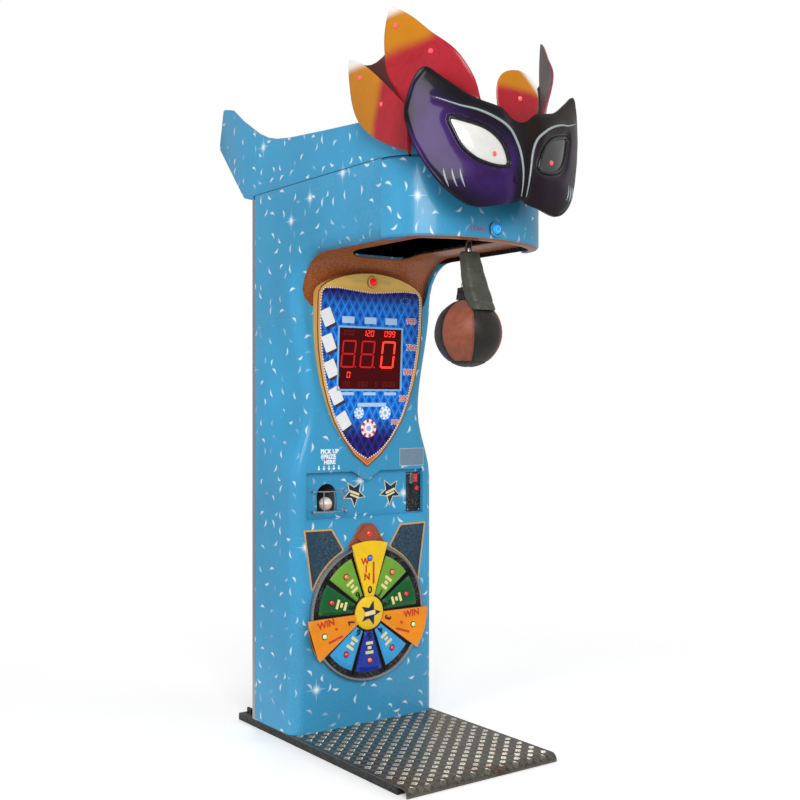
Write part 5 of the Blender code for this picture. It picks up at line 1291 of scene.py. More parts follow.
class PUNCH_OT_dial(bpy.types.Operator):
    """Prize dial with ten wedges, lamps, numbers and a hub"""
    bl_idname = "punch.dial"
    bl_label = "Dial"

    def execute(self, context):
        black = plain("dial_black", "131414", 0.3, coat=0.1, gloss=0.15, relief=0.04, scuffs=0.03, dust=0.0)
        dress(["dial_face"], black)
        dress(["dial_ring"], surface("dial_ring", "9a9c9e", 0.25, 0.8, "brushed", 0.002, 0.1, 0.2, 0.2, 0.3))
        dress(["dial_hub"], plain("hub_yellow", "f0c616", 0.25, coat=0.5))
        dress(["dial_pointer"], plain("pointer_brown", "96452a", 0.3, coat=0.5, shade=0.2))
        for k, code in enumerate(SECTORS):
            look = plain("wedge_" + code, code, 0.2, coat=0.25, gloss=0.2, scuffs=0.05, shade=0.12)
            if k in (0, 3, 7):
                self.plate(k, look)
            else:
                self.wedge(k, look)
        self.bars()
        self.lamps()
        self.numbers()
        self.hub_star()
        self.panels()
        self.skirt()
        return {"FINISHED"}

    def wedge(self, k, look):
        """A glossy domed wedge."""
        bm = bmesh.new()
        middle = math.radians(36 * k)
        grid = []
        for i in range(15):
            s = i / 14
            radius = 0.070 + 0.145 * s
            row = []
            for j in range(13):
                t = j / 12 * 2 - 1
                spread = math.radians(15.8) - 0.0018 / radius
                inside = (1 - abs(t) ** 6) * (1 - abs(2 * s - 1) ** 10)
                row.append(bm.verts.new(dial_place(radius, middle + spread * t,
                                                   0.0008 + 0.0052 * inside ** 0.5)))
            grid.append(row)
        for a, b in zip(grid, grid[1:]):
            for j in range(12):
                bm.faces.new((a[j], a[j + 1], b[j + 1], b[j]))
        self.close(bm)
        finish_piece("wedge_%d" % k, bm, [look], 50)

    def close(self, bm):
        """Gives a sheet on the dial its back."""
        edges = [e for e in bm.edges if e.is_boundary]
        made = bmesh.ops.extrude_edge_only(bm, edges=edges)["geom"]
        for vert in made:
            if isinstance(vert, bmesh.types.BMVert):
                vert.co.y = DIAL_TOP + 0.0001
        bmesh.ops.holes_fill(bm, edges=[e for e in bm.edges if e.is_boundary])

    def plate(self, k, look):
        """A flat plate that laps over the ring."""
        bm = bmesh.new()
        middle = math.radians(36 * k)
        rows = [(0.062, -0.0002, 0.0080), (0.2330, -0.0002, 0.0095), (0.2338, 0.0062, 0.0097),
                (0.262, 0.0062, 0.0097)]
        rings = []
        for radius, low, high in rows:
            spread = math.radians(17.6) - 0.001 / radius
            turns = [middle + spread * (j / 8 * 2 - 1) for j in range(9)]
            top = [dial_place(radius, a, high) for a in turns]
            under = [dial_place(radius, a, low) for a in reversed(turns)]
            rings.append(top + under)
        bridge(bm, rings)
        finish_piece("plate_%d" % k, bm, [look], 40)

    def height(self, k):
        return 0.0090 if k in (0, 3, 7) else 0.0059

    def block(self, bm, k, radius, offset, wide, deep, look=0):
        """A blank bar lying across a wedge."""
        turn = math.radians(36 * k)
        out, side = Vector((math.sin(turn), math.cos(turn))), Vector((math.cos(turn), -math.sin(turn)))
        middle = out * radius + side * offset
        corners = [middle + side * a + out * b for a, b in ((-wide / 2, -deep / 2), (wide / 2, -deep / 2),
                                                            (wide / 2, deep / 2), (-wide / 2, deep / 2))]
        high = self.height(k)
        raised(bm, [(a, DIAL_Z + b) for a, b in corners], on_front(DIAL_TOP), high - 0.0012, high + 0.0007,
               0.0002, look)

    def bars(self):
        cream, red = plain("bar_cream", "e9dd8f", 0.35), plain("bar_red", "c9341f", 0.35)
        bm = bmesh.new()
        for k in (1, 2, 4, 5, 6, 8, 9):
            for radius, wide in ((0.110, 0.030), (0.127, 0.016), (0.144, 0.034)):
                self.block(bm, k, radius, 0.0, wide, 0.0105)
        for k in (3, 7):
            self.block(bm, k, 0.165, 0.030 if k == 3 else -0.030, 0.0085, 0.062, 1)
            self.block(bm, k, 0.150, 0.004, 0.009, 0.012, 1)
        self.block(bm, 0, 0.145, 0.016, 0.008, 0.080, 1)
        finish_piece("dial_bars", bm, [cream, red])
        place = on_front(DIAL_TOP)
        for k, spots in ((0, ((0.188, -0.021, "W"), (0.160, -0.017, "I"), (0.132, -0.013, "N"))),
                         (3, ((0.185, -0.038, "WIN"),)), (7, ((0.185, 0.038, "WIN"),))):
            turn = math.radians(36 * k)
            for n, (radius, offset, words) in enumerate(spots):
                x = radius * math.sin(turn) + offset * math.cos(turn)
                z = DIAL_Z + radius * math.cos(turn) - offset * math.sin(turn)
                lean = 0.0 if k == 0 else (math.radians(4) if k == 3 else math.radians(10))
                lettering("win_%d_%d" % (k, n), words, 0.034, place, (x, z), (0.0080, 0.0103), red,
                          turn=lean, grow=0.0010)

    def lamps(self):
        red = lamp_finish("lamp_red", "d3202c")
        orange = lamp_finish("lamp_orange", "ff6a3c")
        blue, pale = lamp_finish("lamp_blue", "2f6fe0"), lamp_finish("lamp_pale", "cfe3a0")
        bm = bmesh.new()
        for k, look in ((0, 2), (1, 1), (2, 0), (3, 3), (4, 0), (5, 1), (6, 0), (7, 3), (8, 0), (9, 1)):
            radius = 0.200 if k == 0 else 0.172 if k not in (3, 7) else 0.205
            spot = dial_place(radius, math.radians(36 * k), self.height(k) - 0.0004)
            lathe(bm, [(0.0001, 0.0), (0.0118, 0.0), (0.0118, -0.0012), (0.0100, -0.0020),
                       (0.0001, -0.0020)], spot, "Y", 24, 4)
            dome(bm, spot + Vector((0, -0.0018, 0)), (0, -1, 0), 0.0092, 0.0062, look, 10, 3)
        dome(bm, Vector((0, 0.1184, 0.719)), (0, -1, 0), 0.0120, 0.0070, 0, 10, 3)
        ring = plain("lamp_seat", "2a2a2c", 0.3)
        finish_piece("dial_lamps", bm, [red, orange, blue, pale, ring], 12)

    def numbers(self):
        ink = plain("number_ink", "17190f", 0.4)
        place = on_front(DIAL_TOP)
        for k in range(10):
            turn = math.radians(36 * k)
            high = self.height(k)
            spot = (0.083 * math.sin(turn), DIAL_Z + 0.083 * math.cos(turn))
            lettering("number_%d" % k, str(k), 0.036, place, spot, (high - 0.003, high + 0.0008), ink,
                      turn=-turn, grow=0.0008)

    def hub_star(self):
        navy, cream = plain("star_navy", "182444", 0.3), plain("star_cream", "efd9a2", 0.35)
        place = on_front(HUB_FACE)
        bm = bmesh.new()
        raised(bm, star(0, DIAL_Z, 0.046, 0.020, 5, -0.30), place, -0.0002, 0.0008, 0.0003)
        raised(bm, turned_box(-0.002, DIAL_Z, 0.046, 0.016, 0.12, 0.002), place, 0.0004, 0.0014, 0.0002, 1)
        finish_piece("hub_star", bm, [navy, cream])

    def skirt(self):
        """A bell-shaped flange under the pointer."""
        half = [(0.0, 0.684), (0.040, 0.681), (0.082, 0.669), (0.079, 0.684), (0.064, 0.702), (0.050, 0.724),
                (0.036, 0.745), (0.018, 0.756), (0.0, 0.758)]
        outline = [tuple(p) for p in smooth(half, False, 4)]
        bm = bmesh.new()
        raised(bm, both_sides(outline), on_front(FRONT), -0.0002, 0.0060, 0.0015)
        look = bpy.data.materials["pointer_brown"]
        finish_piece("pointer_skirt", bm, [look], 25)

    def panels(self):
        """Two blank dark panels beside the dial, each with a gold border."""
        teal = plain("panel_teal", "17384c", 0.35, coat=0.3)
        gold = plain("panel_gold", "d79a3d", 0.3, coat=0.3)
        place = on_front(FRONT)
        bm = bmesh.new()
        for side in (1, -1):
            arc = []
            for k in range(13):
                a = math.radians(69.5 - (69.5 - 21.8) * k / 12)
                arc.append((0.2495 * math.sin(a), DIAL_Z + 0.2495 * math.cos(a)))
            outer = [(0.236, 0.530), (0.268, 0.747), (0.150, 0.745), (0.100, 0.668)] + arc[::-1][1:-1]
            inner = inset(outer, 0.006)
            for outline, low, high, look in ((outer, -0.0002, 0.0008, 1), (inner, 0.0004, 0.0014, 0)):
                shape = [(side * x, z) for x, z in outline]
                raised(bm, shape if side > 0 else shape[::-1], place, low, high, 0.0002, look)
        finish_piece("dial_panels", bm, [teal, gold])


def lamp_finish(name, tint):
    return surface(name, tint, 0.12, size=0.0015, relief=0.05, shade=0.25, scuffs=0, wear=0, dust=0,
                   coat=0.8, glow=tint, glow_strength=0.35)


# ------------------------------------------------------------------ ball, guard and start button

SEAM_TURN = math.radians(240.7)
# Creases across the rod guard: where along it, how deep and how wide
GUARD_CREASES = ((0.33, 0.0016, 0.022), (0.86, 0.0022, 0.020), (0.16, 0.0012, 0.016), (0.62, 0.0014, 0.022))


class PUNCH_OT_ball(bpy.types.Operator):
    """Leather ball in six gores, with its collar and padded rod guard"""
    bl_idname = "punch.ball"
    bl_label = "Ball"

    def execute(self, context):
        look = colours()
        grain = sizes().grain
        self.brown = surface("leather_brown", tuple(look.brown_leather), 0.42, 0, "leather", grain, 0.35,
                             0.2, 0.5, 0.5, 0.1, sheen=0.1, bare="b98569")
        self.black = surface("leather_black", tuple(look.black_leather), 0.45, 0, "leather", grain, 0.35,
                             0.25, 0.4, 0.5, 0.1, sheen=0.1, bare="6a665f")
        self.olive = surface("leather_guard", "474a40", 0.40, 0, "leather", grain * 1.3, 0.4, 0.3, 0.4, 0.4,
                             0.1, sheen=0.1, bare="7d8076")
        self.thread = surface("thread", "211a16", 0.7, size=0.0008, relief=0.6, shade=0.4, scuffs=0, wear=0)
        dress(["swing_rod"], surface("rod_chrome", "c9ccce", 0.12, 1.0, "brushed", 0.0016, 0.05, 0.1, 0.3,
                                     0.1, 0.0))
        self.ball()
        self.stitches()
        self.collar()
        self.guard()
        return {"FINISHED"}

    def gore(self, turn):
        """Which gore a turn falls in, and how far its nearest seam is, as an angle."""
        step = (turn - SEAM_TURN) / (math.pi / 3)
        return math.floor(step) % 6, abs(step - round(step)) * math.pi / 3

    def ball_radius(self, turn, lift):
        """Leather swells between its seams and sinks a little at each one."""
        _, near = self.gore(turn)
        along = near * math.cos(lift) * BALL_RADIUS
        dip = 0.0022 * math.exp(-(along / 0.0026) ** 2)
        cap = abs(lift + math.radians(58)) * BALL_RADIUS
        dip = max(dip, 0.0020 * math.exp(-(cap / 0.0026) ** 2))
        soft = 0.0012 * noise.noise(Vector((math.cos(turn) * 2.2, math.sin(turn) * 2.2, lift * 2.4)))
        wrinkle = 0.0008 * math.sin(9 * turn) * max(0.0, math.sin(lift) - 0.55) * 2
        return BALL_RADIUS - 0.0008 - dip + soft + wrinkle

    def ball(self):
        steps = sizes().ball_segments * 2
        rows = sizes().ball_segments
        top = math.asin((1.5307 - BALL.z) / BALL_RADIUS)
        bm = bmesh.new()
        rings = []
        for i in range(rows + 1):
            lift = -math.pi / 2 + 0.02 + (top + math.pi / 2 - 0.02) * i / rows
            ring = []
            for k in range(steps):
                turn = SEAM_TURN + 2 * math.pi * k / steps
                radius = self.ball_radius(turn, lift)
                out = Vector((math.cos(turn) * math.cos(lift), math.sin(turn) * math.cos(lift),
                              math.sin(lift)))
                ring.append(BALL + out * radius)
            rings.append(ring)
        bridge(bm, rings)
        for face in bm.faces:
            out = face.calc_center_median() - BALL
            lift = math.asin(max(-1, min(1, out.z / out.length)))
            number, _ = self.gore(math.atan2(out.y, out.x))
            dark = number % 2 == 0 or lift < math.radians(-58)
            face.material_index = 1 if dark else 0
        piece = finish_piece("leather_ball", bm, [self.brown, self.black], 60, body="bag")
        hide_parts("punch_ball")

    def stitches(self):
        """Short threads on both sides of every seam."""
        bm = bmesh.new()

        def stitch(turn, lift, ahead_turn, ahead_lift):
            ends = []
            for k in (0.0, 0.5, 1.0):
                a, b = turn + ahead_turn * k, lift + ahead_lift * k
                out = Vector((math.cos(a) * math.cos(b), math.sin(a) * math.cos(b), math.sin(b)))
                ends.append(BALL + out * (self.ball_radius(a, b) + (0.0004 if k == 0.5 else -0.0003)))
            tube(bm, ends, 0.00045, steps=5)
        for seam in range(6):
            for side in (-1, 1):
                for k in range(34):
                    lift = math.radians(-55 + 3.6 * k)
                    shift = side * 0.0040 / (BALL_RADIUS * max(math.cos(lift), 0.2))
                    stitch(SEAM_TURN + math.pi / 3 * seam + shift, lift, 0.0, math.radians(2.2))
        for k in range(96):
            stitch(2 * math.pi * k / 96, math.radians(-60.2), math.radians(2.4), 0.0)
        finish_piece("ball_stitches", bm, [self.thread], body="bag")

    def collar(self):
        """A gathered leather collar with a lace round it."""
        bm = bmesh.new()
        rings = []
        for i in range(13):
            s = i / 12
            height = 1.5312 + 0.0372 * s
            radius = 0.0395 - 0.0048 * s - 0.0022 * math.exp(-((s - 0.62) / 0.10) ** 2)
            ring = []
            for k in range(72):
                turn = 2 * math.pi * k / 72
                fold = 0.0008 * math.sin(12 * turn + 1.3 * math.sin(3 * turn))
                ring.append(Vector((PIVOT.x + (radius + fold) * math.cos(turn),
                                    PIVOT.y + (radius + fold) * math.sin(turn), height)))
            rings.append(ring)
        bridge(bm, rings)
        for height in (1.5525, 1.5560):
            ring = [(x, y, height) for x, y in circle(PIVOT.x, PIVOT.y, 0.0355, 48)]
            tube(bm, ring, 0.0013, 1, closed=True)
        piece = finish_piece("leather_collar", bm, [self.black, self.thread], 60, body="bag")
        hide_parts("ball_collar")

    def guard(self):
        """A creased pad on the front of the rod that spreads over the ball, with a strap behind."""
        bm = bmesh.new()
        rings = []
        for i in range(61):
            s = i / 60
            z = 1.684 - 0.192 * s
            widen = s ** 1.6
            half = 0.034 + 0.011 * min(s * 1.6, 1.0)
            back = PIVOT.y + 0.014 - 0.052 * widen
            front = PIVOT.y - 0.027 - 0.075 * s ** 1.25
            middle, deep = (back + front) / 2, (back - front) / 2
            crease = sum(depth * math.exp(-((s - at) / wide) ** 2) for at, depth, wide in GUARD_CREASES)
            end = 1 - 0.10 * max(0.0, 1 - min(s, 1 - s) / 0.025) ** 2
            ring = []
            for k in range(80):
                a = 2 * math.pi * k / 80
                ca, sa = math.cos(a), math.sin(a)
                x = half * math.copysign(abs(ca) ** 0.72, ca) * end
                y = middle + deep * math.copysign(abs(sa) ** 0.72, sa) * end
                wave = noise.noise(Vector((x * 26, y * 26, z * 34)))
                swell = 0.0011 * wave - crease * (0.6 + 0.6 * noise.noise(Vector((x * 18, y * 18, 4.0))))
                ring.append(Vector((x + swell * ca, y + swell * sa, z + 0.0015 * wave * ca)))
            rings.append(ring)
        bridge(bm, rings)
        self.keep_clear(bm)
        piece = finish_piece("rod_guard", bm, [self.olive], 75, body="bag")
        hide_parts("rod_sleeve")
        self.strap()

    def keep_clear(self, bm):
        """Presses the pad's back round the ball and the collar."""
        for vert in bm.verts:
            out = vert.co - BALL
            if out.length < BALL_RADIUS + 0.002:
                vert.co = BALL + out.normalized() * (BALL_RADIUS + 0.002)
            away = Vector((vert.co.x - PIVOT.x, vert.co.y - PIVOT.y))
            if vert.co.z < 1.571 and away.length < 0.0425:
                away = away.normalized() * 0.0425 if away.length > 1e-6 else Vector((0, -0.0425))
                vert.co.x, vert.co.y = PIVOT.x + away.x, PIVOT.y + away.y

    def strap(self):
        steel = surface("strap_steel", "c2c5c7", 0.2, 0.95, "brushed", 0.0014, 0.1, 0.15, 0.3, 0.3)
        bm = bmesh.new()
        rings = []
        for z, y in ((1.682, -0.4335), (1.660, -0.4320), (1.630, -0.4325), (1.605, -0.4345)):
            rings.append([Vector((x, y + t, z)) for x, t in ((-0.011, -0.0015), (0.011, -0.0015),
                                                             (0.011, 0.0015), (-0.011, 0.0015))])
        bridge(bm, rings)
        link = [(-0.009, -0.4345, 1.607), (0.009, -0.4345, 1.607), (0.013, -0.4300, 1.572),
                (-0.013, -0.4300, 1.572)]
        tube(bm, link, 0.0017, 1, closed=True)
        finish_piece("guard_strap", bm, [self.black, steel], body="bag")


class PUNCH_OT_start(bpy.types.Operator):
    """Lit blue start button in a black ring, with its word"""
    bl_idname = "punch.start"
    bl_label = "Start button"

    def execute(self, context):
        dress(["start_button"], button_finish("start_blue", "1e8fe8", 0.15, "1f8ff0", 0.55))
        black = plain("start_ring", "101216", 0.25, coat=0.5)
        glow = surface("start_halo", "66c4ff", 0.2, size=0.001, scuffs=0, wear=0, dust=0,
                       glow="66c4ff", glow_strength=0.6)
        bm = bmesh.new()
        lathe(bm, [(0.0180, 0.004), (0.0180, -0.0040), (0.0200, -0.0065), (0.0232, -0.0062),
                   (0.0250, -0.0040), (0.0252, 0.004)], BEZEL, "Y", 48)
        finish_piece("start_ring", bm, [black], 50)
        bm = bmesh.new()
        tube(bm, [(x, LENS_FACE, z) for x, z in circle(0, START_Z, 0.0085, 32)], 0.0007, closed=True)
        finish_piece("start_halo", bm, [glow], 60, body="start_key")
        rose = plain("word_rose", "a82c62", 0.4)
        lettering("word_start", "START", 0.021, self.on_nose, (-0.066, START_Z - 0.004), (-0.0002, 0.0005),
                  rose, turn=0.02)
        return {"FINISHED"}

    def on_nose(self, a, b, t):
        """Places on the rounded front of the arm."""
        return Vector((a, -0.400 - 0.185 * math.sqrt(1 - (a / HALF_WIDTH) ** 2) - t, b))


# ------------------------------------------------------------------ mask

MASK_TOP = [(0, 2.078), (.09, 2.096), (.17, 2.116), (.25, 2.164), (.305, 2.195), (.335, 2.150),
            (.352, 2.075)]
MASK_BOTTOM = [(0, 1.818), (.06, 1.800), (.17, 1.785), (.25, 1.832), (.30, 1.900), (.335, 1.975),
               (.352, 2.045)]
EYE = [(.250, 2.053), (.200, 2.046), (.140, 2.029), (.098, 2.002), (.070, 1.966), (.055, 1.912),
       (.098, 1.903), (.154, 1.915), (.190, 1.936), (.216, 1.964), (.236, 2.005)]
BROW = [(.285, 2.100), (.225, 2.081), (.175, 2.072), (.130, 2.058), (.085, 2.036), (.050, 2.008),
        (.028, 1.968), (.017, 1.920), (.012, 1.870), (.010, 1.826)]


def smooth(points, closed=False, steps=5):
    """A smooth curve through points."""
    points = [Vector(p) for p in points]
    count = len(points)
    made = []
    for i in range(count if closed else count - 1):
        pick = [points[(i + k) % count] if closed else points[min(max(i + k, 0), count - 1)]
                for k in (-1, 0, 1, 2)]
        for n in range(steps):
            t = n / steps
            made.append(0.5 * (2 * pick[1] + (pick[2] - pick[0]) * t
                               + (2 * pick[0] - 5 * pick[1] + 4 * pick[2] - pick[3]) * t * t
                               + (3 * pick[1] - pick[0] - 3 * pick[2] + pick[3]) * t ** 3))
    if not closed:
        made.append(points[-1])
    return made


def distance_to(points, x, z, closed=False):
    """Distance from places to a curve, for arrays x and z."""
    loop = [tuple(p) for p in points]
    if closed:
        loop = loop + loop[:1]
    best = np.full(np.shape(x), 9.0)
    for (ax, az), (bx, bz) in zip(loop, loop[1:]):
        dx, dz = bx - ax, bz - az
        t = np.clip(((x - ax) * dx + (z - az) * dz) / max(dx * dx + dz * dz, 1e-12), 0, 1)
        best = np.minimum(best, np.hypot(x - ax - t * dx, z - az - t * dz))
    return best


def inside(points, x, z):
    """Which places lie in a closed outline."""
    loop = [tuple(p) for p in points]
    found = np.zeros(np.shape(x), bool)
    for (ax, az), (bx, bz) in zip(loop, loop[1:] + loop[:1]):
        crosses = (az > z) != (bz > z)
        at = ax + (z - az) * (bx - ax) / (bz - az if bz != az else 1e-12)
        found ^= crosses & (x < at)
    return found


def mask_sheet(x, z):
    """The plain curved sheet that the mask is modelled on."""
    return -0.735 + 1.15 * x * x + 1.37 * (1 - np.minimum(np.abs(x) / 0.32, 1)) * (z - 1.93) ** 2


class PUNCH_OT_mask(bpy.types.Operator):
    """Glossy carnival mask with brow ridges and lamp eyes"""
    bl_idname = "punch.mask"
    bl_label = "Mask"

    def execute(self, context):
        middle = Vector((0.145, 1.968))
        self.eye = smooth([middle + (Vector(p) - middle) * 0.90 for p in EYE], True, 5)
        self.brow = smooth(BROW, False, 5)
        self.shell()
        self.eyes()
        self.rims()
        return {"FINISHED"}

    def front(self, x, z):
        """The front of the mask, with its brow, eye sockets, cheeks and nose."""
        a = np.abs(x)
        base = mask_sheet(x, z)
        base = base + 0.0155 * np.exp(-(a / 0.060) ** 4)
        eye = distance_to(self.eye, a, z, True)
        within = inside(self.eye, a, z)
        socket = np.where(within, 1.0, np.exp(-(eye / 0.016) ** 2))
        brow = np.exp(-(distance_to(self.brow, a, z) / 0.011) ** 2)
        above = np.exp(-((distance_to(self.brow, a, z)) / 0.030) ** 2)
        cheek = np.exp(-(((a - 0.185) / 0.080) ** 2 + ((z - 1.865) / 0.050) ** 2))
        nose = np.exp(-(a / 0.020) ** 2) * np.exp(-((z - 1.90) / 0.07) ** 2)
        low = np.interp(a, [p[0] for p in MASK_BOTTOM], [p[1] for p in MASK_BOTTOM])
        top = np.interp(a, [p[0] for p in MASK_TOP], [p[1] for p in MASK_TOP])
        edge = np.minimum(z - low, top - z)
        roll = np.exp(-(np.maximum(edge, 0) / 0.008) ** 2)
        raised_parts = 0.0065 * brow + 0.004 * above + 0.008 * cheek + 0.003 * nose
        return base + 0.012 * socket - raised_parts + 0.004 * roll

    def shell(self):
        columns, rows = 150, 74
        bm = bmesh.new()
        xs = np.linspace(-0.352, 0.352, columns + 1)
        share = np.linspace(0, 1, rows + 1)
        share = 0.5 - 0.5 * np.cos(np.pi * share) * (0.75 + 0.25 * np.abs(np.cos(np.pi * share)))
        share = (share - share[0]) / (share[-1] - share[0])
        low = np.array([p for p in smooth(MASK_BOTTOM, False, 6)])
        top = np.array([p for p in smooth(MASK_TOP, False, 6)])
        bottom_z = np.interp(np.abs(xs), low[:, 0], low[:, 1])
        top_z = np.interp(np.abs(xs), top[:, 0], top[:, 1])
        x = np.repeat(xs[:, None], rows + 1, 1)
        z = bottom_z[:, None] + (top_z - bottom_z)[:, None] * share[None, :]
        y = self.front(x, z)
        front = [[bm.verts.new((x[i, j], y[i, j], z[i, j])) for j in range(rows + 1)]
                 for i in range(columns + 1)]
        deep = np.maximum(mask_sheet(x, z) + 0.0135, y + 0.004)
        back = [[bm.verts.new((x[i, j], deep[i, j], z[i, j])) for j in range(rows + 1)]
                for i in range(columns + 1)]
        for i in range(columns):
            for j in range(rows):
                bm.faces.new((front[i][j], front[i + 1][j], front[i + 1][j + 1], front[i][j + 1]))
                bm.faces.new((back[i][j], back[i][j + 1], back[i + 1][j + 1], back[i + 1][j]))
            bm.faces.new((front[i + 1][0], front[i][0], back[i][0], back[i + 1][0]))
            bm.faces.new((front[i][rows], front[i + 1][rows], back[i + 1][rows], back[i][rows]))
        for j in range(rows):
            bm.faces.new((front[0][j], front[0][j + 1], back[0][j + 1], back[0][j]))
            bm.faces.new((front[columns][j + 1], front[columns][j], back[columns][j], back[columns][j + 1]))
        self.boss(bm)
        piece = finish_piece("carnival_mask", bm, [self.finish()], 50)
        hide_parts("mask_shell")

    def boss(self, bm):
        """The block behind the nose that seats on the arm."""
        rings = []
        for y in (-0.722, -0.5860):
            rings.append([Vector((x, y, z)) for x, z in rounded(0, 1.890, 0.080, 0.050, 0.006)])
        bridge(bm, rings)

    def finish(self):
        purple = tuple(colours().mask)

        def paint(w):
            x, y, z = w.split(w.place())
            rise = w.plus(z, w.times(w.size(x), -0.55))
            cheek = w.times(w.fade(rise, 1.675, 1.785), w.drop(rise, 1.900, 1.995))
            outer = w.fade(w.size(x), 0.350, 0.325)
            near = w.fade(w.size(x), 0.012, 0.05)
            amount = w.times(w.times(cheek, outer), near)
            # Painted light and shade: the purple is painted in full on the lit left half and only faintly on
            # the shaded right half, and the near-black base turns warmer on the right.
            left = w.fade(x, 0.02, -0.06, 0.12, 1.0)
            violet = w.mix(w.fade(w.noise(w.place(), 9.0, 2.0), 0.35, 0.65), darker(w, purple, 0.8),
                           darker(w, purple, 1.35))
            warm = w.mix(w.fade(x, -0.02, 0.05), "121014", "1d1410")
            return w.mix(w.times(amount, left), warm, violet)
        return surface("mask_gloss", "141118", 0.30, size=0.003, relief=0.05, shade=0.2, scuffs=0, wear=0,
                       dust=0, coat=0.16, gloss=0.12, paint=paint)

    def on_mask(self, x, z, t):
        return Vector((x, float(self.front(np.array(x), np.array(z))) - t, z))

    def eyes(self):
        """Domed eyes, each with a lamp: pale on the left, painted lit, and dark on the right, the same eye
        painted in shade.
        """
        # Painted light and shade: one eye colour, pale for the lit left eye and dark for the shaded right eye.
        white = surface("eye_painted_lit", "dcdad6", 0.25, size=0.002, relief=0.05, shade=0.15, coat=0.7)
        dark = surface("eye_painted_shade", "39393b", 0.22, size=0.002, relief=0.05, shade=0.2, coat=0.7)
        red = lamp_finish("lamp_rose", tuple(colours().lamp))
        inner = inset([tuple(p) for p in self.eye], 0.0015)
        if inner[0][0] == inner[1][0]:
            inner = inner[1:]
        heart = Vector((0.140, 1.965))
        for side, look, name in ((-1, white, "left_eye"), (1, dark, "right_eye")):
            bm = bmesh.new()
            rings = []
            for step in range(9):
                s = 1 - step / 8 * 0.98
                ring = []
                for a, b in inner:
                    p = heart + (Vector((a, b)) - heart) * s
                    ring.append(self.on_mask(side * p.x, p.y, -0.0006 + 0.0085 * (1 - s ** 2.4)))
                rings.append(ring)
            bridge(bm, rings)
            finish_piece(name, bm, [look], 70)
        bm = bmesh.new()
        for side in (-1, 1):
            spot = self.on_mask(side * 0.115, 1.943, 0.0062)
            dome(bm, spot, (side * -0.25, -1, 0), sizes().lamp_radius, 0.006, 0, 9, 3)
        finish_piece("eye_lamps", bm, [red], 12)

    def rims(self):
        """Raised lids round the eyes, and a pale line that follows the brow and the nose, with three short
        strokes on each cheek, all painted highlights on those ridges.
        """
        black = plain("lid_black", "0d0c0e", 0.18, coat=0.5)
        # Painted highlight: pale lines along the brow ridges and the nose, and short pale strokes on the
        # cheeks.
        grey = plain("brow_highlight", "9aa3a6", 0.2, coat=0.5)
        bm = bmesh.new()
        for side in (-1, 1):
            lid = [self.on_mask(side * p.x, p.y, 0.001) for p in self.eye]
            tube(bm, lid, 0.0048, 0, closed=True, steps=10)
            wide = [self.on_mask(side * a, b, -0.001) for a,
                    b in inset([tuple(p) for p in self.eye], -0.011)]
            tube(bm, wide, 0.0024, 0, closed=True, steps=8)
        finish_piece("eye_lids", bm, [black], 75)
        bm = bmesh.new()
        for side in (-1, 1):
            count = len(self.brow)
            line = [self.on_mask(side * p.x, p.y, 0.0002) for p in self.brow]
            thick = [0.0006 + 0.0036 * math.sin(math.pi * min(i + 1, count - 1) / count) ** 0.6
                     for i in range(count)]
            tube(bm, line, thick, 0, steps=8)
            for k in range(3):
                x = 0.222 + 0.021 * k
                stroke = [self.on_mask(side * (x + 0.004 * math.sin(3 * t) - 0.016 * t), 1.892 - 0.054 * t,
                                       -0.0004) for t in [n / 10 for n in range(11)]]
                tube(bm, stroke, [0.0006 + 0.0030 * math.sin(math.pi * n / 10) for n in range(11)], 0,
                     steps=6)
        finish_piece("brow_highlights", bm, [grey], 75)


# ------------------------------------------------------------------ plumes

# Height, then the inner and outer edge along the sheet
TALL_PLUME = [(2.030, -.260, .050), (2.080, -.236, .081), (2.150, -.188, .120), (2.215, -.124, .149),
              (2.275, -.060, .156), (2.325, .005, .157), (2.370, .056, .151), (2.400, .100, .142),
              (2.4125, .128, .136)]
# The lower and the upper edge, each as y and z
LOW_PLUME = [tuple(low + high) for low, high in (
    ((-.612, 1.930), (-.612, 2.046)), ((-.530, 1.962), (-.540, 2.107)), ((-.463, 1.990), (-.470, 2.167)),
    ((-.390, 2.028), (-.410, 2.216)), ((-.331, 2.078), (-.355, 2.255)), ((-.297, 2.140), (-.318, 2.275)),
    ((-.280, 2.225), (-.292, 2.284)), ((-.279, 2.277), (-.283, 2.288)))]
SMALL_PLUME = [(2.030, .060), (2.080, .078), (2.130, .086), (2.165, .083), (2.190, .070), (2.205, .051),
               (2.214, .027), (2.217, .006)]


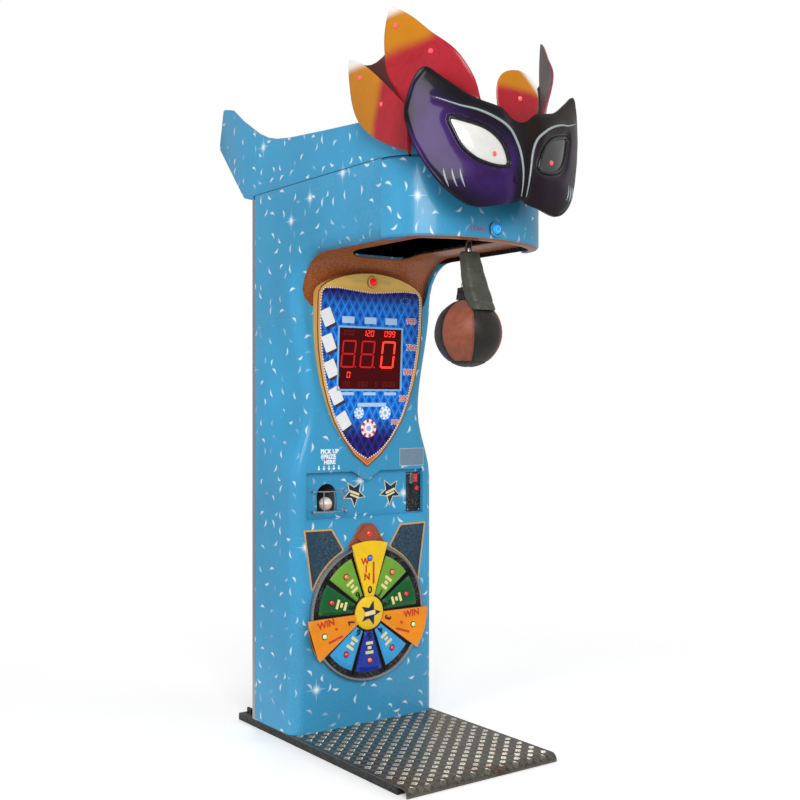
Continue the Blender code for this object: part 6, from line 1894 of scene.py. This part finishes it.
class PUNCH_OT_plumes(bpy.types.Operator):
    """Plumes that fade from white tips through amber to red, with small lamps"""
    bl_idname = "punch.plumes"
    bl_label = "Plumes"

    def execute(self, context):
        tall = self.finish("plume_tall", True, (0.58, 0, 1), (2.425, 2.475), (0.58, 0, 1), (2.555, 2.590),
                           2.12)
        low = self.finish("plume_low", False, (0, 1, 0.25), (0.075, 0.125), (0, 0, 1), (2.232, 2.268), -0.10)
        small = self.finish("plume_small", False, (0, 0, 1), (2.135, 2.170), (0.9, 0, 1), (2.215, 2.245),
                            2.03)
        back = plain("plume_back", "4a2420", 0.35, coat=0.1)
        for name, side in (("left", -1), ("right", 1)):
            edges = [[self.on_tall(side, s, z, 0) for s in (one, two)] for z, one,
                     two in smooth(TALL_PLUME, steps=4)]
            self.plume(name + "_tall", edges, Vector((side * 0.85, -0.53, 0.0)), [tall, back])
            edges = [[Vector((side * (0.333 + 0.05 * (y + 0.60)), max(y, -0.583), z)) for y,
                      z in ((a, b), (c, d))] for a, b, c, d in smooth(LOW_PLUME, steps=4)]
            self.plume(name + "_low", edges, Vector((side, 0.0, 0.0)), [low, back])
            self.web(name, side, back)
        edges = [[Vector((x, -0.688, z)) for x in (-half, half)] for z, half in smooth(SMALL_PLUME, steps=4)]
        self.plume("centre", edges, Vector((0.0, -1.0, 0.0)), [small, back])
        self.lamps()
        return {"FINISHED"}

    def on_tall(self, side, s, z, out):
        """A place on a tall plume's middle sheet, s along it and out from its front."""
        x, y = 0.2086 + 0.53 * (s + 0.06), -0.6214 + 0.85 * (s + 0.06)
        return Vector((side * (x + 0.85 * out), self.behind(x, y, z) - 0.53 * out, z))

    def behind(self, x, y, z):
        """Keeps a place near a plume's root behind the mask."""
        back = mask_sheet(x, z) + 0.024
        keep = min(max((2.270 - z) / 0.150, 0), 1)
        return y + max(back - y, 0) * keep

    def plume(self, name, edges, out, looks):
        """A plume with a domed front and a flat dark back, through pairs of edge points."""
        count = len(edges) - 1
        rings = []
        for i, (one, two) in enumerate(edges):
            share = 1 - 0.7 * i / count
            ring = []
            for k in range(28):
                angle = 2 * math.pi * k / 28
                c, s = math.cos(angle), math.sin(angle)
                lift = 0.0105 * max(s, 0) ** 0.7 if s > 0 else -0.0045 * (-s) ** 0.3
                ring.append((one + two) / 2 + (two - one) / 2 * c + out * lift * share)
            rings.append(ring)
        bm = bmesh.new()
        bridge(bm, rings)
        for n, face in enumerate(bm.faces):
            face.material_index = 0 if n % 28 < 15 or n % 28 == 27 else 1
        split_ends(bm)
        piece = finish_piece(name + "_plume", bm, looks, 45)
        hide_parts(name + "_feather")

    def web(self, name, side, look):
        """A sheet in the plumes' dark back colour between the low plume's upper edge and the tall plume's outer
        edge, painted shade in the gap between them.
        """
        low = [Vector((side * (0.331 + 0.05 * (y + 0.60)), y, z - 0.004)) for _, _, y,
               z in smooth(LOW_PLUME[1:6], steps=2)]
        tall = [self.on_tall(side, s - 0.006, z, -0.003) for z, _, s in smooth(TALL_PLUME[1:5], steps=3)]
        # Painted shade: this dark sheet stands for the shade between the low and the tall plume.
        bm = bmesh.new()
        rings = []
        for k in range(9):
            share = k / 8
            one = low[round(share * (len(low) - 1))]
            two = tall[round(share * (len(tall) - 1))]
            row = [one.lerp(two, n / 6) - Vector((0, 0, 0.022 * math.sin(math.pi * n / 6)))
                   for n in range(7)]
            rings.append([p + Vector((side * 0.0012, 0, 0)) for p in row]
                         + [p - Vector((side * 0.0012, 0, 0)) for p in reversed(row)])
        bridge(bm, rings)
        split_ends(bm)
        finish_piece(name + "_plume_shade_web", bm, [look], 50)

    def finish(self, name, both, amber_way, amber, white_way, white, dark):
        """Amber and white bands across two directions, with faint veins in the red, and the red painted deeper
        below the level dark as shade near the mask.
        """
        look = colours()

        def paint(w):
            x, y, z = w.split(w.place())
            spot = w.join(w.size(x) if both else x, y, z)
            wander = w.times(w.minus(w.noise(w.place(), 6.0, 3.0), 0.5), 0.045)
            way = w.plus(w.vector("DOT_PRODUCT", spot, tuple(amber_way)), wander)
            pale = w.plus(w.vector("DOT_PRODUCT", spot, tuple(white_way)), w.times(wander, 0.5))
            vein = w.fade(w.noise(w.place(), 9.0, 2.0, 0.4, 1.5), 0.47, 0.50, 0.0, 1.0)
            vein = w.times(vein, w.fade(w.noise(w.place(), 9.0, 2.0, 0.4, 1.5), 0.53, 0.50, 0.0, 1.0))
            red = w.mix(w.times(vein, 0.35), tuple(look.scarlet), darker(w, tuple(look.scarlet), 0.5))
            # Painted shade: the red turns deeper towards the plume's root, beside the mask.
            base = w.mix(w.fade(way, dark, dark + 0.12), darker(w, tuple(look.scarlet), 0.55), red)
            base = w.mix(w.fade(way, *amber), base, tuple(look.amber))
            return w.mix(w.fade(pale, *white), base, "e9e4de")
        return surface(name, tuple(look.scarlet), 0.26, size=0.003, relief=0.08, shade=0.10, scuffs=0,
                       wear=0, dust=0, coat=0.25, gloss=0.22, paint=paint)

    def lamps(self):
        rose = lamp_finish("lamp_rose", tuple(colours().lamp))
        bm = bmesh.new()
        radius = sizes().lamp_radius
        for side in (-1, 1):
            out = Vector((side * 0.85, -0.53, 0.0))
            for s, z in ((0.116, 2.352), (0.002, 2.262)):
                dome(bm, self.on_tall(side, s, z, 0.0065), out, radius, 0.007, 0, 9, 3)
            for y, z in ((-0.345, 2.215), (-0.455, 2.110)):
                dome(bm, (side * (0.338 + 0.05 * (y + 0.60)), y, z), (side, 0, 0), radius, 0.007, 0, 9, 3)
        dome(bm, Vector((0, -0.6985, 2.129)), (0, -1, 0), radius, 0.007, 0, 9, 3)
        finish_piece("plume_lamps", bm, [rose], 12)


STEPS = (PUNCH_OT_stage, PUNCH_OT_inside, PUNCH_OT_casings, PUNCH_OT_platform, PUNCH_OT_back,
         PUNCH_OT_shield, PUNCH_OT_display, PUNCH_OT_console, PUNCH_OT_dial, PUNCH_OT_ball, PUNCH_OT_start,
         PUNCH_OT_mask, PUNCH_OT_plumes)


# ------------------------------------------------------------------ add-on

class PUNCH_PT_panel(bpy.types.Panel):
    """Steps that dress the punch machine"""
    bl_idname = "PUNCH_PT_panel"
    bl_label = "Punch machine"
    bl_space_type = "VIEW_3D"
    bl_region_type = "UI"
    bl_category = "Punch machine"

    def draw(self, context):
        column = self.layout.column()
        for step in STEPS:
            column.operator(step.bl_idname)
        for group in (context.scene.punch_sizes, context.scene.punch_colours):
            for name in group.__annotations__:
                column.prop(group, name)


CLASSES = (PunchMachineColours, PunchMachineSizes, *STEPS, PUNCH_PT_panel)


def register():
    for made in CLASSES:
        bpy.utils.register_class(made)
    bpy.types.Scene.punch_colours = PointerProperty(type=PunchMachineColours)
    bpy.types.Scene.punch_sizes = PointerProperty(type=PunchMachineSizes)


def unregister():
    del bpy.types.Scene.punch_sizes
    del bpy.types.Scene.punch_colours
    for made in reversed(CLASSES):
        bpy.utils.unregister_class(made)


def main():
    register()
    for step in STEPS:
        family, name = step.bl_idname.split(".")
        getattr(getattr(bpy.ops, family), name)()


if __name__ == "__main__":
    main()
